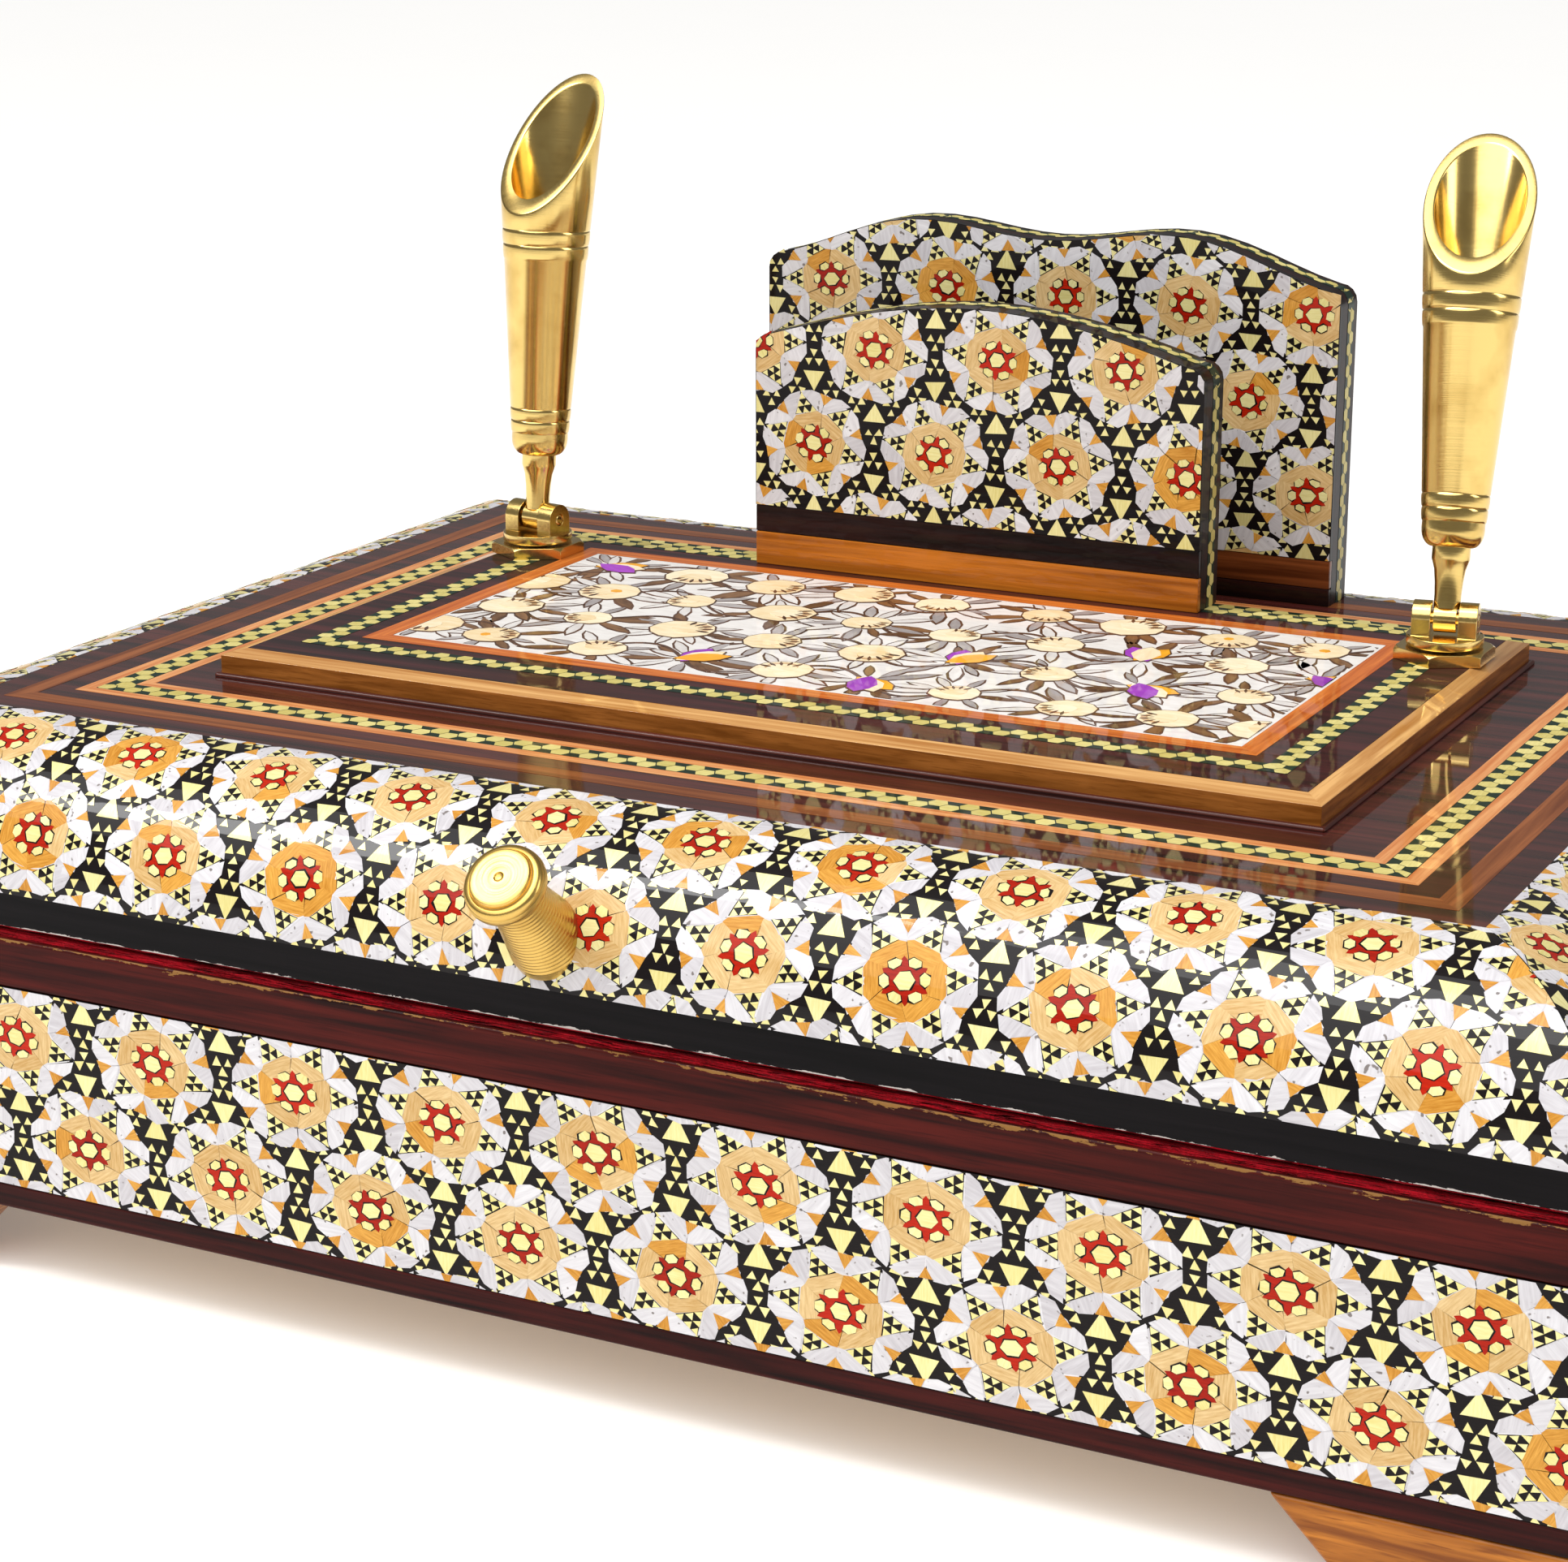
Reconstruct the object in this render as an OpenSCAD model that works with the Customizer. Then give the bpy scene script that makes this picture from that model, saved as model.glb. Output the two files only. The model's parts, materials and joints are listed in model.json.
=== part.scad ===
// Inlaid desk pen box: a mosaic box with a hinged lid, a letter rack and two pen funnels.
// Millimetres, +Z up. The origin is the middle of the footprint, on the table. The front faces -Y.

/* [Box] */
// Width of the box over its veneer
box_w = 232; // [200:1:300]
// Depth of the box over its veneer
box_d = 167; // [150:1:230]
// Height of the box walls above the feet
wall_h = 35.5; // [30:0.5:60]
// Thickness of the wooden wall cores
wall_t = 7; // [5:0.5:10]
// Thickness of the floor board
floor_t = 5; // [3:0.5:8]
// Thickness of the veneers on the walls and rolls
veneer_t = 1; // [0.6:0.1:1.6]
// Thickness of the velvet inside the box and the lid
velvet_t = 0.8; // [0.5:0.1:1.2]

/* [Bands] */
// Height of the dark strip below the mosaic band
lower_strip_h = 3.2; // [2:0.1:5]
// Height of the mosaic band
band_h = 26; // [18:0.5:28]

/* [Feet] */
// Height of the bracket feet
foot_h = 9; // [6:0.5:16]
// Length of a foot along the wall, at the top
foot_l = 32.5; // [24:0.5:45]
// How far the foot's inner edge slants in towards the corner
foot_slant = 9; // [2:0.5:14]
// Thickness of the foot brackets
foot_t = 9; // [6:0.5:12]

/* [Seam] */
// Gap between the box rim and the lid
seam_gap = 1.7; // [1.6:0.1:3]
// Clearance between the rim felt and the closed lid
felt_clear = 0.4; // [0.3:0.05:0.6]
// Distance of the rim felt from the outer face
felt_inset = 0.6; // [0.2:0.1:2]

/* [Lid] */
// Height of the dark strip under the rolls
lid_strip_h = 4.1; // [3:0.1:8]
// Radius of the quarter-round rolls round the lid
roll_r = 17.6; // [14:0.2:24]
// Thickness of the lid board
lid_board_t = 6; // [5:0.5:9]

/* [Plinth] */
// Width of the plinth
plinth_w = 148; // [144:1:160]
// Depth of the plinth
plinth_d = 82.4; // [78:0.1:92]
// Height of the plinth above the lid
plinth_h = 3.5; // [2.5:0.1:5]
// Distance of the plinth's middle to the right of the lid's middle
plinth_x = -1.5; // [-4:0.5:4]
// Distance of the plinth's middle behind the middle of the lid
plinth_shift = -0.4; // [-3:0.1:3]
// Width of the wooden edging round the plinth
edging_w = 2.5; // [2:0.25:5]
// Fall of the edging's sloped top to its outer edge
edging_drop = 0.7; // [0.3:0.1:1.5]
// Width of the plinth's border at each end of the painted panel
panel_end_border = 15.5; // [13:0.5:20]
// Width of the plinth's border in front of the painted panel
panel_front_border = 16.6; // [14:0.05:22]
// Width of the plinth's border behind the painted panel
panel_back_border = 12.2; // [10:0.05:18]
// Thickness of the painted panel
panel_t = 1; // [0.6:0.1:1.4]

/* [Letter rack] */
// Thickness of the rack panels over their mosaic faces
rack_t = 7.1; // [6:0.1:9]
// Distance of the front rack panel to the right of the lid's middle
front_rack_x = -4; // [-10:0.5:10]
// Distance of the rear rack panel to the right of the lid's middle
rear_rack_x = -4.5; // [-8:0.5:8]
// Width of the front rack panel
front_rack_w = 66.4; // [50:0.2:72]
// Height of the front rack panel's corners above the plinth
front_rack_h = 32.2; // [24:0.1:40]
// Rise of the front panel's arched top
front_rack_rise = 6.2; // [2:0.1:9]
// Width of the rear rack panel
rear_rack_w = 87; // [76:0.5:92]
// Height of the rear rack panel's corners above the lid
rear_rack_h = 43.4; // [40:0.1:60]
// Height of the dip between the rear panel's humps above its corners
rear_rack_dip = 4.7; // [3:0.1:7]
// Rise of the rear panel's two humps over the plain arch
rear_rack_hump = 3; // [1:0.1:5]
// Rounding of the panels' upper corners
rack_corner_r = 2.4; // [1:0.1:4]
// Height of the plain strips below the mosaic on the front rack panel
front_rack_base_h = 8.5; // [4:0.1:12]
// Height of the plain strips below the mosaic on the rear rack panel
rear_rack_base_h = 6.5; // [4:0.1:12]
// Radius of the hidden dowels under the panels
dowel_r = 1.5; // [1:0.1:2]
// Length of a dowel
dowel_l = 10; // [8:0.5:11]

/* [Knob] */
// Distance of the knob to the right of the lid's middle
knob_x = -3.5; // [-20:0.5:20]
// Angle up the front roll where the knob sits
knob_place = 21; // [10:1:40]
// Angle of the knob's axis above the level
knob_tilt = 45; // [25:1:55]
// Length of the knob
knob_l = 15.5; // [12:0.1:20]
// Radius of the knob's base
knob_base_r = 4.7; // [3.5:0.1:6]
// Radius of the knob's head
knob_head_r = 4.8; // [3.5:0.1:7]
// Radius of the knob's neck
knob_neck_r = 3.2; // [2:0.1:3.4]
// Depth of the seat that lets the knob into the roll
knob_sink = 2.6; // [1:0.1:3]
// Radius of the knob's stud
stud_r = 1.3; // [0.8:0.1:1.8]
// Length of the knob's stud
stud_l = 12; // [8:0.5:13]
// Depth of the stud in the knob
stud_in_knob = 5; // [3:0.5:7]

/* [Hinges] */
// Distance of each hinge from the middle of the back
hinge_x = 62; // [40:1:80]
// Length of a hinge
hinge_l = 26; // [18:1:40]
// Width of a hinge leaf on the rim
leaf_w = 6; // [4.5:0.5:7]
// Thickness of a hinge leaf
leaf_t = 0.6; // [0.4:0.05:0.7]
// Radius of the hinge barrel
barrel_r = 1.6; // [1.2:0.1:2.2]
// Radius of the hinge pin
hinge_pin_r = 0.7; // [0.5:0.05:0.9]
// Clearance between the barrel and the back of the box
barrel_clear = 0.4; // [0.3:0.05:0.8]
// Radius of the hinge screws
screw_r = 0.6; // [0.4:0.05:0.8]
// Length of the hinge screws
screw_l = 3.4; // [2.5:0.1:3.8]

/* [Pen holders] */
// Distance of the pen holders from the plinth's rear edge
pen_inset = 14.75; // [12:0.25:24]
// Distance of each pen holder from its end of the plinth
pen_end_inset = 7; // [6.5:0.25:12]
// Radius of the flange on the plinth
flange_r = 6.6; // [5.5:0.1:7]
// Height of the flange
flange_h = 1.6; // [1.2:0.1:3.5]
// Radius of the turret
turret_r = 4.9; // [4.5:0.1:5.4]
// Thickness of the turret's disc
turret_h = 1.2; // [1:0.1:2.4]
// Radius of the turret's ears
ear_r = 2.2; // [2:0.1:3.2]
// Thickness of the funnel's tongue between the ears
tongue_t = 3; // [2:0.1:3.6]
// Radius of the cross pin
cross_pin_r = 0.8; // [0.6:0.1:1.2]
// Radius of the bolt that carries the turret
bolt_r = 1.4; // [1:0.1:1.8]
// Distance from the cross pin to the funnel's lower end
stem_l = 9; // [8:0.1:14]
// Radius of the stem at its slim end
stem_r = 1.7; // [1.2:0.05:1.8]
// Radius of the funnel at its lower end
funnel_foot_r = 4; // [3.8:0.1:4.6]
// Radius of the funnel at the mouth
mouth_r = 7.8; // [5.8:0.1:8.5]
// Length of the funnel from its lower end to its tip
funnel_l = 53.4; // [46:0.1:70]
// Length of the slanted cut at the mouth
mouth_cut = 19.4; // [12:0.1:22]
// Radius of the straight pen socket
socket_r = 3.3; // [2.8:0.05:3.3]
// Length of the straight pen socket
socket_l = 20; // [14:0.5:22]
// Lean of the left funnel backwards
left_lean = 4.5; // [0:0.5:15]
// Lean of the right funnel backwards
right_lean = 14; // [0:0.5:20]
// Turn of the left funnel's mouth to the left
left_turn = 9; // [0:1:20]
// Turn of the right funnel's mouth to the left, or to the right where it is negative
right_turn = -10; // [-20:1:20]

/* [Fits] */
// Radial clearance of pins and bolts that turn
run_clear = 0.05; // [0.02:0.01:0.1]
// Radial clearance of screws, dowels and studs that are fixed
set_clear = 0.03; // [0.01:0.01:0.1]
// Gap between faces that pass each other
face_clear = 0.25; // [0.15:0.05:0.4]
// Glue line at the end of each mitred bar
mitre_gap = 0.04; // [0.02:0.01:0.1]

/* [Hidden] */
CURVE_STEPS = 24;
CORNER_STEPS = 4;
CUT_REACH = 40;

// Heights of the main levels
wall_z = foot_h;
rim_z = wall_z + wall_h;
lid_z = rim_z + seam_gap;
roll_z = lid_z + lid_strip_h;
lid_top = roll_z + roll_r;
plinth_top = lid_top + plinth_h;

// Plan sizes worked out from the box
shell_t = veneer_t + wall_t;
inner_w = box_w - 2 * shell_t;
inner_d = box_d - 2 * shell_t;
flat_w = box_w - 2 * roll_r;
flat_d = box_d - 2 * roll_r;
upper_strip_h = wall_h - lower_strip_h - band_h;

// Knob: seat on the front roll, and the steps of its turned outline along its axis
knob_seat_y = -box_d / 2 + roll_r * (1 - cos(knob_place));
knob_seat_z = roll_z + roll_r * sin(knob_place);
knob_rim = knob_l * 0.08;
knob_neck_at = knob_l * 0.77;
knob_head_at = knob_l * 0.81;
knob_step_at = knob_l * 0.955;
knob_edge = knob_rim / 2;
knob_face_r = knob_head_r * 0.75;
bell_curve = 0.8;

// Hinge: axis behind the back wall, level with the middle of the seam
hinge_y = box_d / 2 + barrel_clear + barrel_r;
hinge_z = rim_z + seam_gap / 2;
knuckle_l = hinge_l / 3;
hinge_screw_x = hinge_l / 3;
hinge_screw_y = box_d / 2 - leaf_w * 0.55;
screw_head_r = screw_r * 2;
screw_head_h = leaf_t * 0.6;

// Plinth and rack places
plinth_front = plinth_shift - plinth_d / 2;
plinth_back = plinth_shift + plinth_d / 2;
panel_w = plinth_w - 2 * panel_end_border;
panel_d = plinth_d - panel_front_border - panel_back_border;
panel_front = plinth_front + panel_front_border;
front_rack_y = plinth_back - rack_t;
rear_rack_y = flat_d / 2 - rack_t;
dowel_share = 0.3;

// Pen holders: each stands in the plinth's end border
pen_x = plinth_w / 2 - pen_end_inset;
pen_y = plinth_back - pen_inset;

// The clevis, the cross pin's height, and the turned steps of the funnel above it
slot_w = tongue_t + 2 * face_clear;
tongue_step = 0.4;
tongue_r = ear_r - tongue_step;
turret_z = plinth_top + flange_h + face_clear;
ear_reach = sqrt(pow(turret_r, 2) - pow(ear_r, 2)) - face_clear;
pivot_z = turret_z + turret_h + tongue_r + face_clear;
funnel_tip = stem_l + funnel_l;
funnel_lip = funnel_tip - mouth_cut;
shoulder_l = 2.3;
socket_base_t = 4.6;
socket_floor = stem_l + socket_base_t;
socket_top = socket_floor + socket_l;
funnel_wall = mouth_r - socket_r * mouth_r / funnel_foot_r;
groove_w = 0.8;
groove_depth = 0.3;
lip_grooves = [2.6, 4.8];
foot_grooves = [3.6, 5.9];
bolt_head_r = bolt_r * 2;
bolt_head_h = 1.6;
bolt_grip = turret_h * 0.75;
flange_chamfer = flange_h * 0.3;
collar_r = stem_r * 1.4;
collar_at = stem_l * 0.8;
stem_end_r = stem_r * 1.15;
stem_end_at = stem_l * 0.72;

// The footprint's middle: the knob reaches forwards, the hinge barrels backwards
knob_reach = knob_l * cos(knob_tilt) + knob_face_r * sin(knob_tilt) - knob_sink * cos(knob_tilt);
front_reach = knob_reach - roll_r * (1 - cos(knob_place));
back_reach = barrel_clear + 2 * barrel_r;
centre_y = (front_reach - back_reach) / 2;

$fn = 48;

// Length of a side of the box, and its distance from the middle. Sides count from the front.
function side_len(side) = side % 2 == 0 ? box_w : box_d;
function side_off(side) = side % 2 == 0 ? box_d / 2 : box_w / 2;
function at_front(side) = side == 0;
function at_back(side) = side == 2;

// Tops of the rack panels: a plain arch, and an arch with two humps; u runs from -1 to 1.
function arch_top(u) = front_rack_h + front_rack_rise * cos(90 * u);
function hump_top(u) = rear_rack_h + rear_rack_dip * cos(90 * u) + rear_rack_hump * pow(sin(180 * u), 2);
function rack_top(rear, u) = rear ? hump_top(u) : arch_top(u);

// One rounded upper corner of a rack panel, from the outside edge to the top edge;
// a hand is -1 on the left and 1 on the right, here and below
function rack_corner(rear, w, hand) =
    let (u = hand * (1 - 2 * rack_corner_r / w))
    let (centre = [hand * (w / 2 - rack_corner_r), rack_top(rear, u) - rack_corner_r])
    [for (i = [0 : CORNER_STEPS])
        let (a = 90 * i / CORNER_STEPS)
        centre + rack_corner_r * [hand * cos(a), sin(a)]];

// The curved top between the two corners, from left to right
function rack_crest(rear, w) =
    let (reach = 1 - 2 * rack_corner_r / w)
    [for (i = [1 : CURVE_STEPS - 1])
        let (u = reach * (2 * i / CURVE_STEPS - 1))
        [u * w / 2, rack_top(rear, u)]];

// The last corner is listed backwards, so that the outline keeps one direction
function backwards(list) = [for (i = [len(list) - 1 : -1 : 0]) list[i]];

function rack_outline(rear, w, base) = concat(
    [[-w / 2, base]],
    rack_corner(rear, w, -1),
    rack_crest(rear, w),
    backwards(rack_corner(rear, w, 1)),
    [[w / 2, base]]
);

// Places its children on one side: X along the side, Y inwards from the outer face
module on_side(side) {
    rotate(90 * side)
        translate([0, -side_off(side), 0])
            children();
}

// A bar with mitred ends: its outer face is at y = from, its inner face at y = to
module mitred_bar(side, from, to, h) {
    half = side_len(side) / 2 - mitre_gap;
    linear_extrude(h)
        polygon([[from - half, from], [half - from, from], [half - to, to], [to - half, to]]);
}

// A rod along X, centred on the middle
module rod_x(r, l) {
    rotate([0, 90, 0])
        cylinder(r = r, h = l, center = true);
}

module wall(side) {
    color("burlywood")
        difference() {
            on_side(side)
                translate([0, 0, wall_z])
                    mitred_bar(side, veneer_t, shell_t, wall_h);
            if (at_back(side))
                hinge_screw_holes(rim_z, -1);
        }
}

module floor_board() {
    color("burlywood")
        translate([-inner_w / 2, -inner_d / 2, wall_z])
            cube([inner_w, inner_d, floor_t]);
}

// One leg of a bracket foot along X, with its corner at the origin and its inner edge slanted
module foot_leg() {
    translate([0, foot_t, 0])
        rotate([90, 0, 0])
            linear_extrude(foot_t)
                polygon([[0, 0], [foot_l - foot_slant, 0], [foot_l, foot_h], [0, foot_h]]);
}

module foot(hand_x, hand_y) {
    color("peru")
        translate([hand_x * box_w / 2, hand_y * box_d / 2, 0])
            mirror([hand_x > 0 ? 1 : 0, 0, 0])
                mirror([0, hand_y > 0 ? 1 : 0, 0])
                    union() {
                        foot_leg();
                        mirror([1, -1, 0])
                            foot_leg();
                    }
}

module box_khatam(side) {
    color("khaki")
        on_side(side)
            translate([0, 0, wall_z + lower_strip_h])
                mitred_bar(side, 0, veneer_t, band_h);
}

module wall_strips(z, h) {
    color("saddlebrown")
        for (side = [0 : 3])
            on_side(side)
                translate([0, 0, z])
                    mitred_bar(side, 0, veneer_t, h);
}

module floor_velvet() {
    color("crimson")
        translate([-inner_w / 2, -inner_d / 2, wall_z + floor_t])
            cube([inner_w, inner_d, velvet_t]);
}

module wall_velvet() {
    color("crimson")
        for (side = [0 : 3])
            on_side(side)
                translate([0, 0, wall_z + floor_t + velvet_t])
                    mitred_bar(side, shell_t, shell_t + velvet_t, wall_h - floor_t - velvet_t);
}

// Felt on the rim at the front and both sides; the hinges take the back
module rim_felt() {
    color("crimson")
        difference() {
            for (side = [0, 1, 3])
                on_side(side)
                    translate([0, 0, rim_z])
                        mitred_bar(side, felt_inset, shell_t, seam_gap - felt_clear);
            translate([-box_w, box_d / 2 - shell_t - face_clear, rim_z - face_clear])
                cube([2 * box_w, 2 * shell_t, seam_gap + face_clear]);
        }
}

// A quarter-round with mitred ends, of radius r about the roll's centre line
module quarter_roll(side, r) {
    l = side_len(side);
    intersection() {
        translate([0, roll_r, 0])
            rod_x(r, l);
        mitred_bar(side, 0, roll_r, roll_r);
    }
}

module knob_seat() {
    on_knob_axis(-knob_sink)
        cylinder(r = knob_base_r + set_clear, h = CUT_REACH);
    on_knob_axis(-knob_sink - (stud_l - stud_in_knob) - set_clear)
        cylinder(r = stud_r + set_clear, h = stud_l);
}

module lid_roll(side) {
    color("burlywood")
        difference() {
            on_side(side)
                translate([0, 0, roll_z])
                    quarter_roll(side, roll_r - veneer_t);
            if (at_front(side))
                knob_seat();
        }
}

module lid_khatam(side) {
    color("khaki")
        difference() {
            on_side(side)
                translate([0, 0, roll_z])
                    difference() {
                        quarter_roll(side, roll_r);
                        translate([0, roll_r, 0])
                            rod_x(roll_r - veneer_t, 2 * side_len(side));
                    }
            if (at_front(side))
                knob_seat();
        }
}

module lid_strip(side) {
    color("black")
        difference() {
            on_side(side)
                translate([0, 0, lid_z])
                    mitred_bar(side, 0, roll_r, lid_strip_h);
            if (at_back(side))
                hinge_screw_holes(lid_z, 1);
            if (at_front(side))
                knob_seat();
        }
}

module lid_board() {
    color("maroon")
        difference() {
            translate([-flat_w / 2, -flat_d / 2, lid_top - lid_board_t])
                cube([flat_w, flat_d, lid_board_t]);
            dowel_holes();
            bolt_holes(bolt_r + run_clear);
        }
}

module lid_velvet() {
    color("crimson")
        difference() {
            translate([-flat_w / 2, -flat_d / 2, lid_top - lid_board_t - velvet_t])
                cube([flat_w, flat_d, velvet_t]);
            bolt_holes(bolt_head_r + face_clear);
        }
}

module plinth_block(inset, h) {
    translate([plinth_x - plinth_w / 2 + inset, plinth_front + inset, 0])
        cube([plinth_w - 2 * inset, plinth_d - 2 * inset, h]);
}

module plinth_board() {
    color("maroon")
        difference() {
            translate([0, 0, lid_top])
                plinth_block(edging_w, plinth_h);
            translate([plinth_x - panel_w / 2, panel_front, plinth_top - panel_t])
                cube([panel_w, panel_d, panel_t + face_clear]);
            dowel_holes();
            bolt_holes(bolt_r + run_clear);
        }
}

// What is cut from the top of the edging: it slopes from its inner edge down to its outer edge
module edging_slopes() {
    slope = atan2(edging_drop, edging_w);
    translate([plinth_x, plinth_shift, plinth_top])
        for (side = [0 : 3])
            rotate(90 * side)
                translate([-plinth_w, edging_w - (side % 2 == 0 ? plinth_d : plinth_w) / 2, 0])
                    rotate([slope, 0, 0])
                        translate([0, -CUT_REACH, 0])
                            cube([2 * plinth_w, CUT_REACH, CUT_REACH]);
}

module plinth_edging() {
    color("sienna")
        difference() {
            translate([0, 0, lid_top])
                plinth_block(0, plinth_h);
            translate([0, 0, lid_top - face_clear])
                plinth_block(edging_w, plinth_h + 2 * face_clear);
            edging_slopes();
            dowel_holes();
        }
}

module painted_panel() {
    color("gainsboro")
        translate([plinth_x - panel_w / 2, panel_front, plinth_top - panel_t])
            cube([panel_w, panel_d, panel_t]);
}

// A slab of a rack panel's outline, standing on z, with its front face at y
module rack_slab(rear, w, base, y, z, t) {
    translate([rear ? rear_rack_x : front_rack_x, y + t, z])
        rotate([90, 0, 0])
            linear_extrude(t)
                polygon(rack_outline(rear, w, base));
}

module rack_front_panel() {
    color("sienna")
        difference() {
            rack_slab(false, front_rack_w, 0, front_rack_y + veneer_t, plinth_top, rack_t - veneer_t);
            dowel_holes();
        }
}

module rack_rear_panel() {
    color("sienna")
        difference() {
            rack_slab(true, rear_rack_w, 0, rear_rack_y + veneer_t, lid_top, rack_t - veneer_t);
            dowel_holes();
        }
}

module rack_front_khatam() {
    color("khaki")
        rack_slab(false, front_rack_w, front_rack_base_h, front_rack_y, plinth_top, veneer_t);
}

module rack_rear_khatam() {
    color("khaki")
        rack_slab(true, rear_rack_w, rear_rack_base_h, rear_rack_y, lid_top, veneer_t);
}

// Two dowels under each rack panel, half in the panel and half in what it stands on
module dowels(r, extra) {
    for (hand = [-1, 1]) {
        translate([front_rack_x + hand * dowel_share * front_rack_w, front_rack_y + rack_t / 2, plinth_top])
            cylinder(r = r, h = dowel_l + 2 * extra, center = true);
        translate([rear_rack_x + hand * dowel_share * rear_rack_w, rear_rack_y + rack_t / 2, lid_top])
            cylinder(r = r, h = dowel_l + 2 * extra, center = true);
    }
}

module dowel_holes() {
    dowels(dowel_r + set_clear, set_clear);
}

module rack_dowels() {
    color("tan")
        dowels(dowel_r, 0);
}

// Stands its children on the knob's axis, along +Z, at a distance from the roll's face
module on_knob_axis(along) {
    translate([knob_x, knob_seat_y, knob_seat_z])
        rotate([90 - knob_tilt, 0, 0])
            translate([0, 0, along])
                children();
}

// The bell of the knob narrows in a cosine from its rim to its neck
function knob_bell() =
    [for (i = [0 : CURVE_STEPS / 2])
        let (part = i / (CURVE_STEPS / 2))
        [knob_neck_r + (knob_base_r - knob_neck_r) * pow(1 - sin(90 * part), bell_curve),
            knob_rim + (knob_neck_at - knob_rim) * part]];

module knob() {
    color("gold")
        difference() {
            on_knob_axis(-knob_sink)
                rotate_extrude()
                    polygon(concat(
                        [[0, 0], [knob_base_r, 0]],
                        knob_bell(),
                        [
                            [knob_head_r - knob_edge, knob_head_at],
                            [knob_head_r, knob_head_at + knob_edge],
                            [knob_head_r, knob_step_at - knob_edge],
                            [knob_head_r - knob_edge, knob_step_at],
                            [knob_face_r, knob_step_at],
                            [knob_face_r, knob_l],
                            [0, knob_l],
                        ]
                    ));
            on_knob_axis(-knob_sink - set_clear)
                cylinder(r = stud_r + set_clear, h = stud_in_knob + 2 * set_clear);
        }
}

module knob_stud() {
    color("goldenrod")
        on_knob_axis(-knob_sink - (stud_l - stud_in_knob))
            cylinder(r = stud_r, h = stud_l);
}

// One leaf of a hinge with its knuckles; hand is 1 for the lid's leaf and -1 for the box's
module hinge_leaf(place, hand) {
    slots = hand < 0 ? [-1, 1] : [0];
    leaf_z = hand < 0 ? rim_z : lid_z - leaf_t;
    color("goldenrod")
        difference() {
            union() {
                translate([place - hinge_l / 2, box_d / 2 - leaf_w, leaf_z])
                    cube([hinge_l, leaf_w, leaf_t]);
                for (slot = slots)
                    hinge_knuckle(place + slot * knuckle_l, leaf_z);
            }
            translate([place, hinge_y, hinge_z])
                rod_x(hinge_pin_r + run_clear, 2 * hinge_l);
            hinge_screws(place, leaf_z, hand, set_clear);
        }
}

// A knuckle round the pin, joined to its leaf by a tab
module hinge_knuckle(x, leaf_z) {
    l = knuckle_l - face_clear;
    translate([x, hinge_y, hinge_z])
        rod_x(barrel_r, l);
    translate([x - l / 2, box_d / 2 - leaf_w, leaf_z])
        cube([l, leaf_w + barrel_clear + barrel_r, leaf_t]);
}

module hinge_pin(place) {
    color("goldenrod")
        translate([place, hinge_y, hinge_z])
            rod_x(hinge_pin_r, hinge_l);
}

// The two countersunk screws of one leaf, driven away from the seam
module hinge_screws(place, leaf_z, hand, extra) {
    open_z = hand < 0 ? leaf_z + leaf_t : leaf_z;
    for (end = [-1, 1])
        translate([place + end * hinge_screw_x, hinge_screw_y, open_z])
            rotate([hand < 0 ? 180 : 0, 0, 0]) {
                translate([0, 0, -extra])
                    cylinder(r1 = screw_head_r + extra, r2 = screw_r + extra, h = screw_head_h + extra);
                cylinder(r = screw_r + extra, h = screw_l + extra);
            }
}

// Pilot holes for the screws of both leaves on one piece of wood
module hinge_screw_holes(face_z, hand) {
    leaf_z = hand < 0 ? face_z : face_z - leaf_t;
    for (place = [-hinge_x, hinge_x])
        hinge_screws(place, leaf_z, hand, set_clear);
}

module hinge_box_screws() {
    color("darkgoldenrod")
        for (place = [-hinge_x, hinge_x])
            hinge_screws(place, rim_z, -1, 0);
}

module hinge_lid_screws() {
    color("darkgoldenrod")
        for (place = [-hinge_x, hinge_x])
            hinge_screws(place, lid_z - leaf_t, 1, 0);
}

// The bolts' way through the plinth and the lid, under both pen holders
module bolt_holes(r) {
    for (hand = [-1, 1])
        translate([plinth_x + hand * pen_x, pen_y, lid_top - CUT_REACH / 2])
            cylinder(r = r, h = CUT_REACH);
}

// Stands its children at a pen holder, turned to the left about its bolt
module at_pen(hand) {
    translate([plinth_x + hand * pen_x, pen_y, 0])
        rotate(hand < 0 ? -left_turn : -right_turn)
            children();
}

// A six-lobed flange with a chamfered top
module flange(hand) {
    color("gold")
        difference() {
            translate([plinth_x + hand * pen_x, pen_y, plinth_top])
                intersection() {
                    rotate(30)
                        cylinder(r = flange_r, h = flange_h, $fn = 6);
                    cylinder(r1 = flange_r + flange_h, r2 = flange_r - flange_chamfer, h = flange_h);
                }
            bolt_holes(bolt_r + run_clear);
        }
}

// The clevis: a disc with two ears beside the tongue
module turret(hand) {
    ear_t = ear_reach - slot_w / 2;
    color("gold")
        difference() {
            at_pen(hand)
                union() {
                    translate([0, 0, turret_z])
                        cylinder(r = turret_r, h = turret_h);
                    for (side = [-1, 1])
                        translate([side * (slot_w + ear_t) / 2, 0, 0]) {
                            translate([0, 0, pivot_z])
                                rod_x(ear_r, ear_t);
                            translate([-ear_t / 2, -ear_r, turret_z])
                                cube([ear_t, 2 * ear_r, pivot_z - turret_z]);
                        }
                }
            at_pen(hand)
                translate([0, 0, pivot_z])
                    rod_x(cross_pin_r + set_clear, 4 * turret_r);
            translate([plinth_x + hand * pen_x, pen_y, turret_z - face_clear])
                cylinder(r = bolt_r + set_clear, h = bolt_grip + face_clear);
        }
}

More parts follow.
